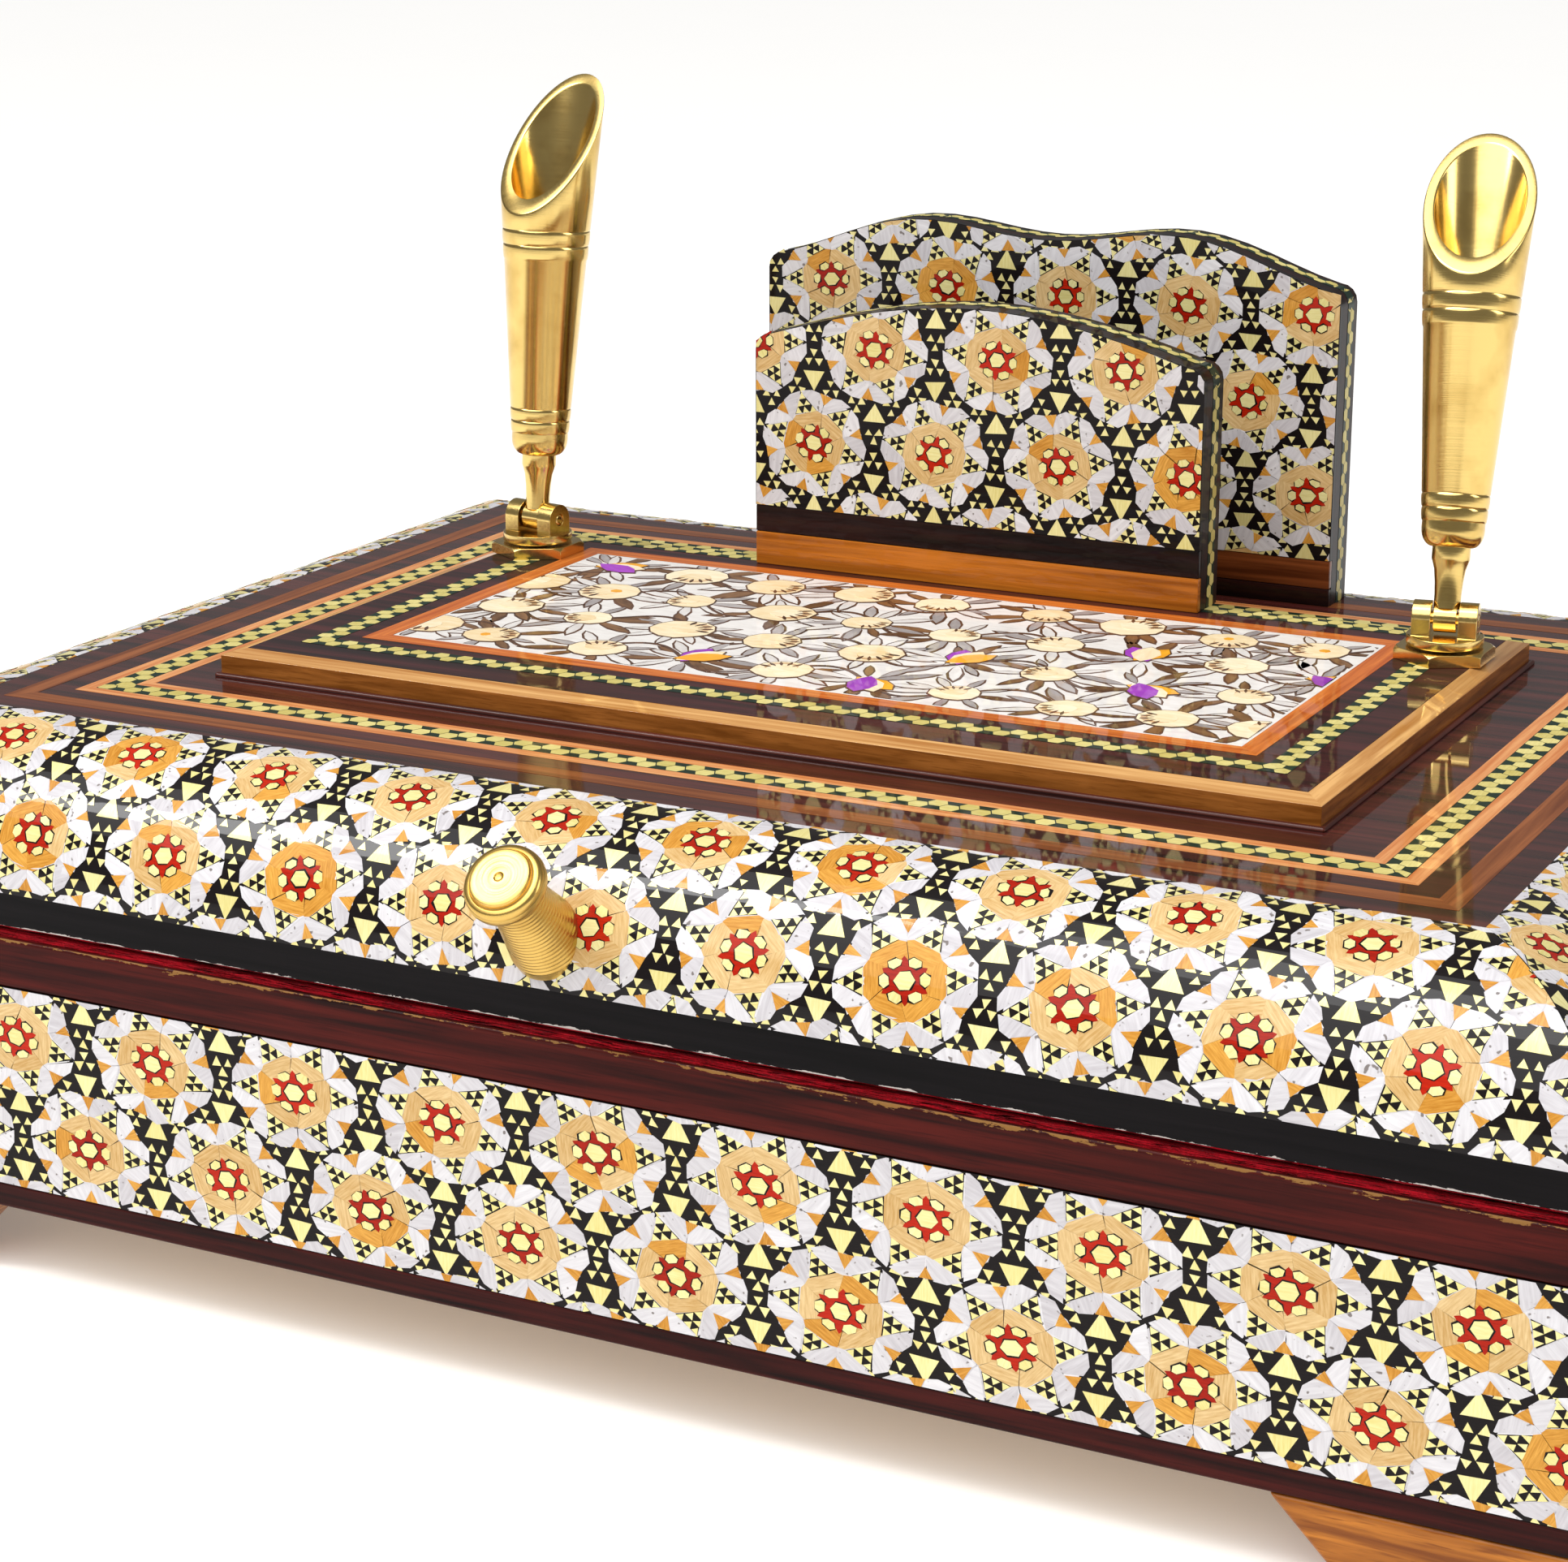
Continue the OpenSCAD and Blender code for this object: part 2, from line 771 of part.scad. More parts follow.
module bolt(hand) {
    under = lid_top - lid_board_t - face_clear;
    color("goldenrod")
        translate([plinth_x + hand * pen_x, pen_y, under - bolt_head_h]) {
            cylinder(r = bolt_head_r, h = bolt_head_h);
            cylinder(r = bolt_r, h = turret_z + bolt_grip - set_clear - under + bolt_head_h);
        }
}

module cross_pin(hand) {
    color("goldenrod")
        at_pen(hand)
            translate([0, 0, pivot_z])
                rod_x(cross_pin_r, 2 * ear_reach);
}

// Radius of the funnel's outside at a distance from the cross pin
function funnel_r(along) =
    funnel_foot_r + (mouth_r - funnel_foot_r) * (along - stem_l - shoulder_l) / (funnel_l - shoulder_l);

// The rounded lower end, from the collar out to the cone
function funnel_shoulder() =
    [for (i = [0 : CORNER_STEPS])
        let (a = 90 * i / CORNER_STEPS)
        [collar_r + (funnel_foot_r - collar_r) * sin(a), stem_l + shoulder_l * (1 - cos(a))]];

// A shallow turned groove, as three points of the outline
function groove(along) = [
    [funnel_r(along - groove_w / 2), along - groove_w / 2],
    [funnel_r(along) - groove_depth, along],
    [funnel_r(along + groove_w / 2), along + groove_w / 2],
];

module funnel_body() {
    rotate_extrude()
        polygon(concat(
            [[0, ear_r + face_clear], [stem_r, ear_r + face_clear]],
            [[stem_end_r, stem_end_at], [collar_r, collar_at], [collar_r, stem_l]],
            funnel_shoulder(),
            groove(stem_l + foot_grooves[0]),
            groove(stem_l + foot_grooves[1]),
            groove(funnel_lip - lip_grooves[1]),
            groove(funnel_lip - lip_grooves[0]),
            [[mouth_r, funnel_tip], [0, funnel_tip]]
        ));
}

// The pen socket: a straight bore, then a cone that opens to the mouth
module funnel_hollow() {
    translate([0, 0, socket_floor])
        cylinder(r = socket_r, h = socket_l);
    translate([0, 0, socket_top])
        cylinder(r1 = socket_r, r2 = mouth_r - funnel_wall, h = funnel_tip - socket_top);
}

// The slanted mouth: everything above a plane from the lip in front to the tip behind
module mouth_slope() {
    lip_r = funnel_r(funnel_lip);
    slope = atan2(mouth_cut, mouth_r + lip_r);
    translate([0, -lip_r, funnel_lip])
        rotate([slope, 0, 0])
            translate([-CUT_REACH / 2, -CUT_REACH / 2, 0])
                cube([CUT_REACH, 2 * CUT_REACH, CUT_REACH]);
}

module tongue() {
    rod_x(tongue_r, tongue_t);
    intersection() {
        translate([-tongue_t / 2, -stem_r, 0])
            cube([tongue_t, 2 * stem_r, ear_r + stem_r]);
        cylinder(r = tongue_t, h = 2 * ear_r);
    }
}

module funnel(hand) {
    color("gold")
        at_pen(hand)
            translate([0, 0, pivot_z])
                rotate([hand < 0 ? -left_lean : -right_lean, 0, 0])
                    difference() {
                        union() {
                            funnel_body();
                            tongue();
                        }
                        funnel_hollow();
                        mouth_slope();
                        rod_x(cross_pin_r + run_clear, 2 * slot_w);
                    }
}

// Every piece stands about the middle of the footprint
module place() {
    translate([0, centre_y, 0])
        children();
}

place() wall(0);  // front_wall
place() wall(1);  // right_wall
place() wall(2);  // back_wall
place() wall(3);  // left_wall
place() floor_board();
place() foot(-1, -1);  // foot_front_left
place() foot(1, -1);  // foot_front_right
place() foot(-1, 1);  // foot_back_left
place() foot(1, 1);  // foot_back_right
place() box_khatam(0);  // box_front_khatam
place() box_khatam(1);  // box_right_khatam
place() box_khatam(2);  // box_back_khatam
place() box_khatam(3);  // box_left_khatam
place() wall_strips(wall_z, lower_strip_h);  // box_lower_strips
place() wall_strips(rim_z - upper_strip_h, upper_strip_h);  // box_upper_strips
place() floor_velvet();
place() wall_velvet();
place() rim_felt();
place() lid_board();
place() lid_roll(0);  // lid_front_roll
place() lid_roll(1);  // lid_right_roll
place() lid_roll(2);  // lid_back_roll
place() lid_roll(3);  // lid_left_roll
place() lid_khatam(0);  // lid_front_khatam
place() lid_khatam(1);  // lid_right_khatam
place() lid_khatam(2);  // lid_back_khatam
place() lid_khatam(3);  // lid_left_khatam
place() lid_strip(0);  // lid_front_strip
place() lid_strip(1);  // lid_right_strip
place() lid_strip(2);  // lid_back_strip
place() lid_strip(3);  // lid_left_strip
place() lid_velvet();
place() plinth_board();
place() plinth_edging();
place() painted_panel();
place() rack_front_panel();
place() rack_rear_panel();
place() rack_front_khatam();
place() rack_rear_khatam();
place() rack_dowels();
place() knob();
place() knob_stud();
place() hinge_leaf(-hinge_x, -1);  // left_hinge_box_leaf
place() hinge_leaf(-hinge_x, 1);  // left_hinge_lid_leaf
place() hinge_pin(-hinge_x);  // left_hinge_pin
place() hinge_leaf(hinge_x, -1);  // right_hinge_box_leaf
place() hinge_leaf(hinge_x, 1);  // right_hinge_lid_leaf
place() hinge_pin(hinge_x);  // right_hinge_pin
place() hinge_box_screws();
place() hinge_lid_screws();
place() flange(-1);  // left_flange
place() turret(-1);  // left_turret
place() bolt(-1);  // left_bolt
place() cross_pin(-1);  // left_cross_pin
place() funnel(-1);  // left_funnel
place() flange(1);  // right_flange
place() turret(1);  // right_turret
place() bolt(1);  // right_bolt
place() cross_pin(1);  // right_cross_pin
place() funnel(1);  // right_funnel
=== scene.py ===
"""An inlaid desk pen box: its looks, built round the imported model.

A rod-mosaic (khatam) box with a rolled lid, rope bandings, a painted panel, a
letter rack, two brass pen funnels and a turned knob. Lengths are millimetres,
and finished meshes are metres in the model's own frame.
"""
import json
import logging
import math
import random
from abc import ABC, abstractmethod
from collections.abc import Callable, Iterable, Iterator, Sequence
from contextlib import contextmanager
from dataclasses import dataclass, field, replace
from enum import Enum, IntEnum

import bpy
from mathutils import Matrix, Vector


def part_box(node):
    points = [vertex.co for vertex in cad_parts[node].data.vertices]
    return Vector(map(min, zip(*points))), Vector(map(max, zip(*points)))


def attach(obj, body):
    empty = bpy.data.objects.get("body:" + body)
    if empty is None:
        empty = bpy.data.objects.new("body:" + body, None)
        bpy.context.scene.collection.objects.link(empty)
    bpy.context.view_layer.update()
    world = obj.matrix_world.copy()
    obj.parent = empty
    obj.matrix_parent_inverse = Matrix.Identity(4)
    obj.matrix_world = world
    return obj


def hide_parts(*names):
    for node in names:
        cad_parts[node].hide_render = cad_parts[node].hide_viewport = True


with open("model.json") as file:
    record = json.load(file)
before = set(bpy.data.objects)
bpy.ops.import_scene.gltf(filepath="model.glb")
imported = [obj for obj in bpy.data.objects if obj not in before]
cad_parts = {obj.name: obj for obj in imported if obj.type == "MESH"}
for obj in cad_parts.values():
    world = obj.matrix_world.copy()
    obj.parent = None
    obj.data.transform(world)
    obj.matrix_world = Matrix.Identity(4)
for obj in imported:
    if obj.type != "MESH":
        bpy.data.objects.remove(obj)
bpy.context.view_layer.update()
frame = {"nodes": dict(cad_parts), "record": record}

Piece = bpy.types.Object
Tree = bpy.types.NodeTree
Socket = bpy.types.NodeSocket

LOG = logging.getLogger("pen_box")
MM = 0.001
GRAIN = "grain"
TINT = "tint"
# Height of one layer of tiles, the seam left beside a band, and how proud an inlay stands.
LEVEL = 0.02
SEAM = 0.05
PROUD = 0.03
# Thickness of a tile, its foot above the face, and the smallest area that is kept.
TILE_THICK = 0.25
TILE_FOOT = 0.02
TILE_LEAST = 0.03
# Roughness of the lacquer coat, of sealed wood and of bare wood.
COAT_ROUGH = 0.03
SEALED_ROUGH = 0.42
BARE_ROUGH = 0.75
SLOTS: dict[str, str] = {row["node"]: row["material_slot"] for row in frame["record"]["subparts"]}
BODIES: dict[str, str] = {
    node: body for body, nodes in frame["record"]["behaviour"]["bodies"].items() for node in nodes
}


@dataclass(frozen=True)
class Span:
    """The lowest and highest corners of model nodes, in millimetres."""

    lo: Vector
    hi: Vector

    @classmethod
    def of(cls, *nodes: str) -> "Span":
        """Measure one or more nodes together."""
        boxes = [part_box(node) for node in nodes]
        lo = Vector([min(box[0][i] for box in boxes) for i in range(3)])
        hi = Vector([max(box[1][i] for box in boxes) for i in range(3)])
        return cls(lo / MM, hi / MM)

    @property
    def mid(self) -> Vector:
        """The middle of the span."""
        return (self.lo + self.hi) / 2

    @property
    def size(self) -> Vector:
        """The span's width, depth and height."""
        return self.hi - self.lo


class Side(IntEnum):
    """The four sides of the box, counted as quarter turns from the front."""

    FRONT = 0
    RIGHT = 1
    BACK = 2
    LEFT = 3

    @property
    def word(self) -> str:
        """The side's name in the model's node names."""
        return self.name.lower()


class Grain(Enum):
    """Which way a wood's grain runs: along the model's X, or along the piece's own map."""

    X = 0
    STRIP = 3


class Rod(IntEnum):
    """What a mosaic tile is cut from, in the order of a mosaic piece's slots."""

    EBONY = 0
    GOLD = 1
    BONE = 2
    TAN = 3
    ORANGE = 4
    RED = 5


class Pigment(IntEnum):
    """Paints of the panel, in the order of its slots."""

    GROUND = 0
    STEM = 1
    LEAF = 2
    CREAM = 3
    BLUSH = 4
    PURPLE = 5
    AMBER = 6
    SHADE = 7


def linear(colour: str) -> tuple[float, float, float, float]:
    """Turn an sRGB hex value into linear red, green, blue and alpha.

    Args:
        colour: The value as "#RRGGBB".

    Returns:
        Linear components, with an alpha of 1.
    """
    parts = [int(colour[i:i + 2], 16) / 255 for i in (1, 3, 5)]
    red, green, blue = (c / 12.92 if c <= 0.04045 else ((c + 0.055) / 1.055) ** 2.4 for c in parts)
    return red, green, blue, 1.0


def add_node(
    tree: Tree, kind: str, inputs: dict[str | int, object] | None = None, **settings: object
) -> bpy.types.Node:
    """Add one shader node with its settings, and link or set its inputs.

    Args:
        tree: The material's node tree.
        kind: The node's type without its ShaderNode prefix.
        inputs: Input names or numbers with a socket to link or a value to set.
        **settings: The node's own properties.

    Returns:
        The new node.
    """
    node = tree.nodes.new(f"ShaderNode{kind}")
    for name, value in settings.items():
        setattr(node, name, value)
    for name, value in (inputs or {}).items():
        if isinstance(value, Socket):
            tree.links.new(value, node.inputs[name])
        else:
            node.inputs[name].default_value = value
    return node


def grain_space(tree: Tree, grain: Grain, pitch: float, length: float) -> Socket:
    """Give coordinates counted in grain widths and drawn out along the grain.

    Args:
        tree: The material's node tree.
        grain: Which way the grain runs.
        pitch: Width of one grain line in millimetres.
        length: How many times longer than wide a grain line is.

    Returns:
        The vector socket for a texture whose scale is 1.
    """
    if grain is Grain.STRIP:
        source = add_node(tree, "UVMap", uv_map=GRAIN).outputs["UV"]
        scale = [1 / (pitch * length), 1 / pitch, 1 / pitch]
    else:
        source = add_node(tree, "TexCoord").outputs["Object"]
        scale = [1 / (pitch * MM)] * 3
        scale[grain.value] /= length
    return add_node(tree, "Mapping", {"Vector": source, "Scale": scale}).outputs["Vector"]


@dataclass(frozen=True)
class Finish(ABC):
    """A finish with a name, whose material is made once and shared."""

    name: str

    def material(self) -> bpy.types.Material:
        """Give the finish's material, made on its first use."""
        found = bpy.data.materials.get(self.name)
        if found:
            return found
        material = bpy.data.materials.new(self.name)
        material.use_nodes = True
        tree = material.node_tree
        tree.nodes.clear()
        shader = add_node(tree, "BsdfPrincipled", self.sockets(tree))
        add_node(tree, "OutputMaterial", {"Surface": shader.outputs["BSDF"]})
        return material

    @abstractmethod
    def sockets(self, tree: Tree) -> dict[str, object]:
        """Make the finish's nodes and give what goes into the shader's sockets."""


def lacquer_coat(
    tree: Tree, weight: float, ior: float, wave: float, strength: float
) -> dict[str, object]:
    """Give the shader inputs of a poured lacquer coat, which dries with a faint ripple.

    Args:
        tree: The material's node tree.
        weight: How much of the coat shows.
        ior: The coat's index of refraction.
        wave: Distance between ripples in millimetres.
        strength: How strongly the ripple turns the normal.

    Returns:
        The coat's inputs by name.
    """
    place = add_node(tree, "TexCoord").outputs["Object"]
    swell = add_node(tree, "TexNoise", {"Vector": place, "Scale": 1 / (wave * MM), "Detail": 2.0})
    bump = {"Strength": strength, "Distance": 0.2 * MM, "Height": swell.outputs["Fac"]}
    return {
        "Coat Weight": weight, "Coat Roughness": COAT_ROUGH, "Coat IOR": ior,
        "Coat Normal": add_node(tree, "Bump", bump).outputs["Normal"],
    }


@dataclass(frozen=True)
class LacqueredWood(Finish):
    """Veneer or strip wood under thick clear lacquer: streaky grain below a hard mirror coat."""

    light: str
    dark: str
    grain: Grain = Grain.STRIP
    pitch: float = 0.45
    length: float = 26.0
    coat: float = 0.6
    coat_ior: float = 1.36
    pore: float = 0.5
    worn_at: float = 0.0
    worn_reach: float = 0.0
    worn_colour: str = "#C99A5E"
    ripple: float = 0.12

    def sockets(self, tree: Tree) -> dict[str, object]:
        """Mix grain, pores and, where set, chips along an edge at one height."""
        space = grain_space(tree, self.grain, self.pitch, self.length)
        broad = add_node(tree, "TexNoise", {"Vector": space, "Scale": 0.28, "Detail": 5.0, "Distortion": 0.5})
        fine = add_node(tree, "TexNoise", {"Vector": space, "Scale": 1.4, "Detail": 3.0})
        shade = add_node(tree, "MapRange", {0: broad.outputs["Fac"], 1: 0.34, 2: 0.66})
        pores = add_node(tree, "MapRange", {0: fine.outputs["Fac"], 1: 0.52, 2: 0.7, 4: self.pore})
        base = add_node(
            tree, "MixRGB", {0: shade.outputs[0], 1: linear(self.dark), 2: linear(self.light)}
        )
        colour = add_node(tree, "MixRGB", {0: pores.outputs[0], 1: base.outputs[0], 2: linear(self.dark)})
        rough = SEALED_ROUGH
        if self.worn_reach:
            colour, rough = self.chipped(tree, colour)
        return {
            "Base Color": colour.outputs[0],
            "Roughness": rough,
            "Specular IOR Level": 0.08,
            **lacquer_coat(tree, self.coat, self.coat_ior, 9.0, self.ripple),
        }

    def chipped(
        self, tree: Tree, colour: bpy.types.Node
    ) -> tuple[bpy.types.Node, Socket]:
        """Lay bare wood through the lacquer along the worn edge of the upright faces.

        Args:
            tree: The material's node tree.
            colour: The node with the unworn colour.

        Returns:
            The node with the worn colour, and the roughness socket.
        """
        place = add_node(tree, "TexCoord").outputs["Object"]
        height = add_node(tree, "SeparateXYZ", {0: place}).outputs["Z"]
        away = add_node(tree, "Math", {0: height, 1: self.worn_at * MM}, operation="SUBTRACT")
        gap = add_node(tree, "Math", {0: away.outputs[0]}, operation="ABSOLUTE")
        along = add_node(tree, "Mapping", {"Vector": place, "Scale": (240.0, 240.0, 900.0)})
        rough_edge = add_node(
            tree, "TexNoise", {"Vector": along.outputs[0], "Scale": 1.0, "Detail": 5.0, "Roughness": 0.7}
        )
        reach = add_node(
            tree, "MapRange", {0: rough_edge.outputs["Fac"], 1: 0.4, 2: 0.68, 4: self.worn_reach * MM}
        )
        near = add_node(tree, "Math", {0: gap.outputs[0], 1: reach.outputs[0]}, operation="LESS_THAN")
        facing = add_node(tree, "SeparateXYZ", {0: add_node(tree, "TexCoord").outputs["Normal"]})
        lying = add_node(tree, "Math", {0: facing.outputs["Z"]}, operation="ABSOLUTE")
        upright = add_node(tree, "Math", {0: lying.outputs[0], 1: 0.8}, operation="LESS_THAN")
        bare = add_node(tree, "Math", {0: near.outputs[0], 1: upright.outputs[0]}, operation="MULTIPLY")
        worn = add_node(
            tree, "MixRGB", {0: bare.outputs[0], 1: colour.outputs[0], 2: linear(self.worn_colour)}
        )
        rough = add_node(tree, "MapRange", {0: bare.outputs[0], 3: SEALED_ROUGH, 4: BARE_ROUGH})
        return worn, rough.outputs[0]


@dataclass(frozen=True)
class InlayRod(Finish):
    """Rods sawn across and sanded flush under lacquer: each tile its own shade and streak."""

    light: str
    dark: str
    pitch: float = 0.18
    streak: float = 0.5
    vary: float = 0.5
    metallic: float = 0.0
    roughness: float = 0.4
    coat: float = 0.3
    pits: float = 0.0

    def sockets(self, tree: Tree) -> dict[str, object]:
        """Mix the tile's own tint with its saw and grain streaks, and pit it where set."""
        space = grain_space(tree, Grain.STRIP, self.pitch, 9.0)
        lines = add_node(tree, "TexNoise", {"Vector": space, "Scale": 1.0, "Detail": 3.0, "Roughness": 0.6})
        streaks = add_node(tree, "MapRange", {0: lines.outputs["Fac"], 1: 0.3, 2: 0.7, 4: self.streak})
        own = add_node(tree, "Attribute", attribute_name=TINT)
        level = add_node(
            tree, "Math", {0: own.outputs["Fac"], 1: self.vary, 2: streaks.outputs[0]},
            operation="MULTIPLY_ADD", use_clamp=True,
        )
        colour = add_node(tree, "MixRGB", {0: level.outputs[0], 1: linear(self.light), 2: linear(self.dark)})
        if self.pits:
            place = add_node(tree, "TexCoord").outputs["Object"]
            spots = add_node(tree, "TexNoise", {"Vector": place, "Scale": 1 / (0.8 * MM), "Detail": 1.0})
            speck = add_node(tree, "MapRange", {0: spots.outputs["Fac"], 1: 0.69, 2: 0.75, 4: self.pits})
            colour = add_node(
                tree, "MixRGB", {0: speck.outputs[0], 1: colour.outputs[0], 2: linear("#5E5148")}
            )
        return {
            "Base Color": colour.outputs[0],
            "Metallic": self.metallic,
            "Roughness": self.roughness,
            "Specular IOR Level": 0.06,
            **lacquer_coat(tree, self.coat, 1.36, 7.0, 0.1),
        }


@dataclass(frozen=True)
class TurnedBrass(Finish):
    """Polished brass: warm yellow metal with fine lathe lines and a little tarnish."""

    colour: str = "#EBCB7E"
    tarnish: str = "#B98F42"
    turned: bool = True
    pitch: float = 0.22
    roughness: float = 0.17
    lines: float = 0.25

    def sockets(self, tree: Tree) -> dict[str, object]:
        """Run lathe lines round the piece's map and cloud the metal with tarnish."""
        place = add_node(tree, "TexCoord").outputs["Object"]
        cloud = add_node(tree, "TexNoise", {"Vector": place, "Scale": 1 / (6.0 * MM), "Detail": 4.0})
        dull = add_node(tree, "MapRange", {0: cloud.outputs["Fac"], 1: 0.48, 2: 0.75, 3: 0.0, 4: 0.6})
        colour = add_node(
            tree, "MixRGB", {0: dull.outputs[0], 1: linear(self.colour), 2: linear(self.tarnish)}
        )
        if self.turned:
            space = add_node(
                tree, "Mapping",
                {"Vector": add_node(tree, "UVMap", uv_map=GRAIN).outputs["UV"],
                 "Scale": (0.004, 1 / self.pitch, 1.0)},
            ).outputs["Vector"]
            scale = 1.0
        else:
            space, scale = place, 1 / (self.pitch * 2 * MM)
        cut = add_node(tree, "TexNoise", {"Vector": space, "Scale": scale, "Detail": 3.0, "Roughness": 0.7})
        smooth, dim = self.roughness * 0.75, self.roughness * 1.4
        rough = add_node(tree, "MapRange", {0: cut.outputs["Fac"], 1: 0.3, 2: 0.7, 3: smooth, 4: dim})
        tooled = add_node(
            tree, "Bump", {"Strength": self.lines, "Distance": 0.04 * MM, "Height": cut.outputs["Fac"]}
        )
        return {
            "Base Color": colour.outputs[0],
            "Metallic": 1.0,
            "Roughness": rough.outputs[0],
            "Normal": tooled.outputs["Normal"],
        }


@dataclass(frozen=True)
class PileCloth(Finish):
    """Short-pile velvet or felt: deep red, lighter where the nap is brushed, with a soft sheen."""

    light: str
    dark: str
    fibre: float = 0.22
    sheen: float = 0.6

    def sockets(self, tree: Tree) -> dict[str, object]:
        """Cloud the nap's direction and roughen the surface with fibres."""
        place = add_node(tree, "TexCoord").outputs["Object"]
        nap = add_node(
            tree, "TexNoise", {"Vector": place, "Scale": 1 / (22.0 * MM), "Detail": 3.0, "Distortion": 1.2}
        )
        pile = add_node(tree, "TexNoise", {"Vector": place, "Scale": 1 / (self.fibre * MM), "Detail": 2.0})
        blend = add_node(tree, "Math", {0: nap.outputs["Fac"], 1: pile.outputs["Fac"]}, operation="ADD")
        shade = add_node(tree, "MapRange", {0: blend.outputs[0], 1: 0.7, 2: 1.3})
        colour = add_node(tree, "MixRGB", {0: shade.outputs[0], 1: linear(self.dark), 2: linear(self.light)})
        fuzz = add_node(tree, "Bump", {"Strength": 0.6, "Distance": 0.25 * MM, "Height": pile.outputs["Fac"]})
        return {
            "Base Color": colour.outputs[0],
            "Roughness": 0.92,
            "Specular IOR Level": 0.15,
            "Sheen Weight": self.sheen,
            "Sheen Roughness": 0.35,
            "Sheen Tint": linear("#F0606A"),
            "Normal": fuzz.outputs["Normal"],
        }


@dataclass(frozen=True)
class BrushedPaint(Finish):
    """Opaque gouache under lacquer: flat colour that thins and pools with the brush."""

    light: str
    dark: str
    stroke: float = 1.1

    def sockets(self, tree: Tree) -> dict[str, object]:
        """Pool the colour along short strokes on the piece's map."""
        space = grain_space(tree, Grain.STRIP, self.stroke, 3.0)
        pool = add_node(tree, "TexNoise", {"Vector": space, "Scale": 1.0, "Detail": 4.0, "Roughness": 0.6})
        own = add_node(tree, "Attribute", attribute_name=TINT)
        mixed = add_node(
            tree, "Math", {0: own.outputs["Fac"], 1: 0.35, 2: pool.outputs["Fac"]}, operation="MULTIPLY_ADD"
        )
        shade = add_node(tree, "MapRange", {0: mixed.outputs[0], 1: 0.42, 2: 0.95})
        colour = add_node(tree, "MixRGB", {0: shade.outputs[0], 1: linear(self.light), 2: linear(self.dark)})
        return {
            "Base Color": colour.outputs[0],
            "Roughness": 0.5,
            "Specular IOR Level": 0.2,
            **lacquer_coat(tree, 0.55, 1.45, 9.0, 0.1),
        }


@dataclass(frozen=True)
class PaperSweep(Finish):
    """Matt white studio paper: pale and even, with the faintest mottling."""

    colour: str

    def sockets(self, tree: Tree) -> dict[str, object]:
        """Mottle the paper by less than the eye can name."""
        place = add_node(tree, "TexCoord").outputs["Object"]
        mottle = add_node(tree, "TexNoise", {"Vector": place, "Scale": 14.0, "Detail": 3.0})
        white = linear(self.colour)
        duller = (white[0] * 0.985, white[1] * 0.985, white[2] * 0.985, 1.0)
        tone = add_node(tree, "MixRGB", {0: mottle.outputs["Fac"], 1: white, 2: duller})
        return {
            "Base Color": tone.outputs[0], "Roughness": 0.9, "Specular IOR Level": 0.1,
            "Emission Color": white, "Emission Strength": 0.2,
        }


# Mosaic rods: ebony, brass-coloured wire, camel bone, boxwood, orange wood and dyed wood.
EBONY = InlayRod("ebony_rod", "#120E0F", "#1E1716", streak=0.6, vary=0.4)
GOLD_ROD = InlayRod("brass_rod", "#F8EFB2", "#DCCD7A", 0.25, 0.5, 0.45, 0.2, 0.38)
BONE_ROD = InlayRod("camel_bone_rod", "#EAE8EA", "#BDB8BC", 0.5, 0.5, 0.55, pits=0.8)
TAN_ROD = InlayRod("boxwood_rod", "#EACD98", "#C69C5E", 0.26, 0.8, 0.4)
ORANGE_ROD = InlayRod("orange_wood_rod", "#E8AE52", "#BA7A26", 0.24, 0.75, 0.4)
RED_ROD = InlayRod("red_dyed_rod", "#C8280E", "#8A1406", 0.22, 0.5, 0.5)
MOSAIC = (EBONY, GOLD_ROD, BONE_ROD, TAN_ROD, ORANGE_ROD, RED_ROD)
# The rolls' lacquer is thicker and mirrors the lights.
ROLL_MOSAIC = tuple(replace(rod, name=f"rolled_{rod.name}", coat=0.55) for rod in MOSAIC)
# Rope bandings: pale straw cells let into dark green stained wood.
ROPE_GROUND = InlayRod("green_stained_banding", "#16251D", "#23392D", streak=0.6, vary=0.4)
ROPE_CELL = InlayRod("straw_banding", "#E6DA92", "#BFAE5C", 0.25, 0.5, 0.6)
ROPE = (ROPE_GROUND, ROPE_CELL)
# Dark rosewood strips: near black, red where the light gets in.
LOWER_STRIP = LacqueredWood("rosewood_strip", "#44130F", "#140605", coat=0.12)
UPPER_STRIP = LacqueredWood(
    "rosewood_rim_strip", "#541610", "#1E0705", coat=0.1, worn_at=44.6, worn_reach=0.95,
    worn_colour="#8A6234",
)
LID_STRIP = LacqueredWood(
    "ebonised_lid_strip", "#100C0E", "#050304", coat=0.12, coat_ior=1.3, worn_at=46.15, worn_reach=0.4,
    worn_colour="#B9B0AA",
)
# The flat tops: rosewood veneer polished like glass.
TOP_VENEER = LacqueredWood(
    "rosewood_top", "#56241F", "#240F0D", Grain.X, 0.7, coat=0.9, coat_ior=1.5, ripple=0.04
)
PLINTH_VENEER = LacqueredWood(
    "plinth_rosewood", "#4C1F20", "#1F0C0D", Grain.X, 0.6, coat=0.55, coat_ior=1.42
)
BEAD = LacqueredWood("lacquer_bead", "#5C2618", "#34120C", coat=0.5, coat_ior=1.45)
BROWN_BANDING = LacqueredWood("walnut_banding", "#9A5A30", "#6A3517", pitch=0.35)
ORANGE_LINE = LacqueredWood("orange_stringing", "#E8A76C", "#C9773F", pitch=0.2)
PANEL_BORDER = LacqueredWood("panel_border_wood", "#DE7E34", "#B4561C", pitch=0.2)
EDGING = LacqueredWood("plinth_edging_wood", "#A8672B", "#74400F", pitch=0.35, length=12.0, pore=0.7)
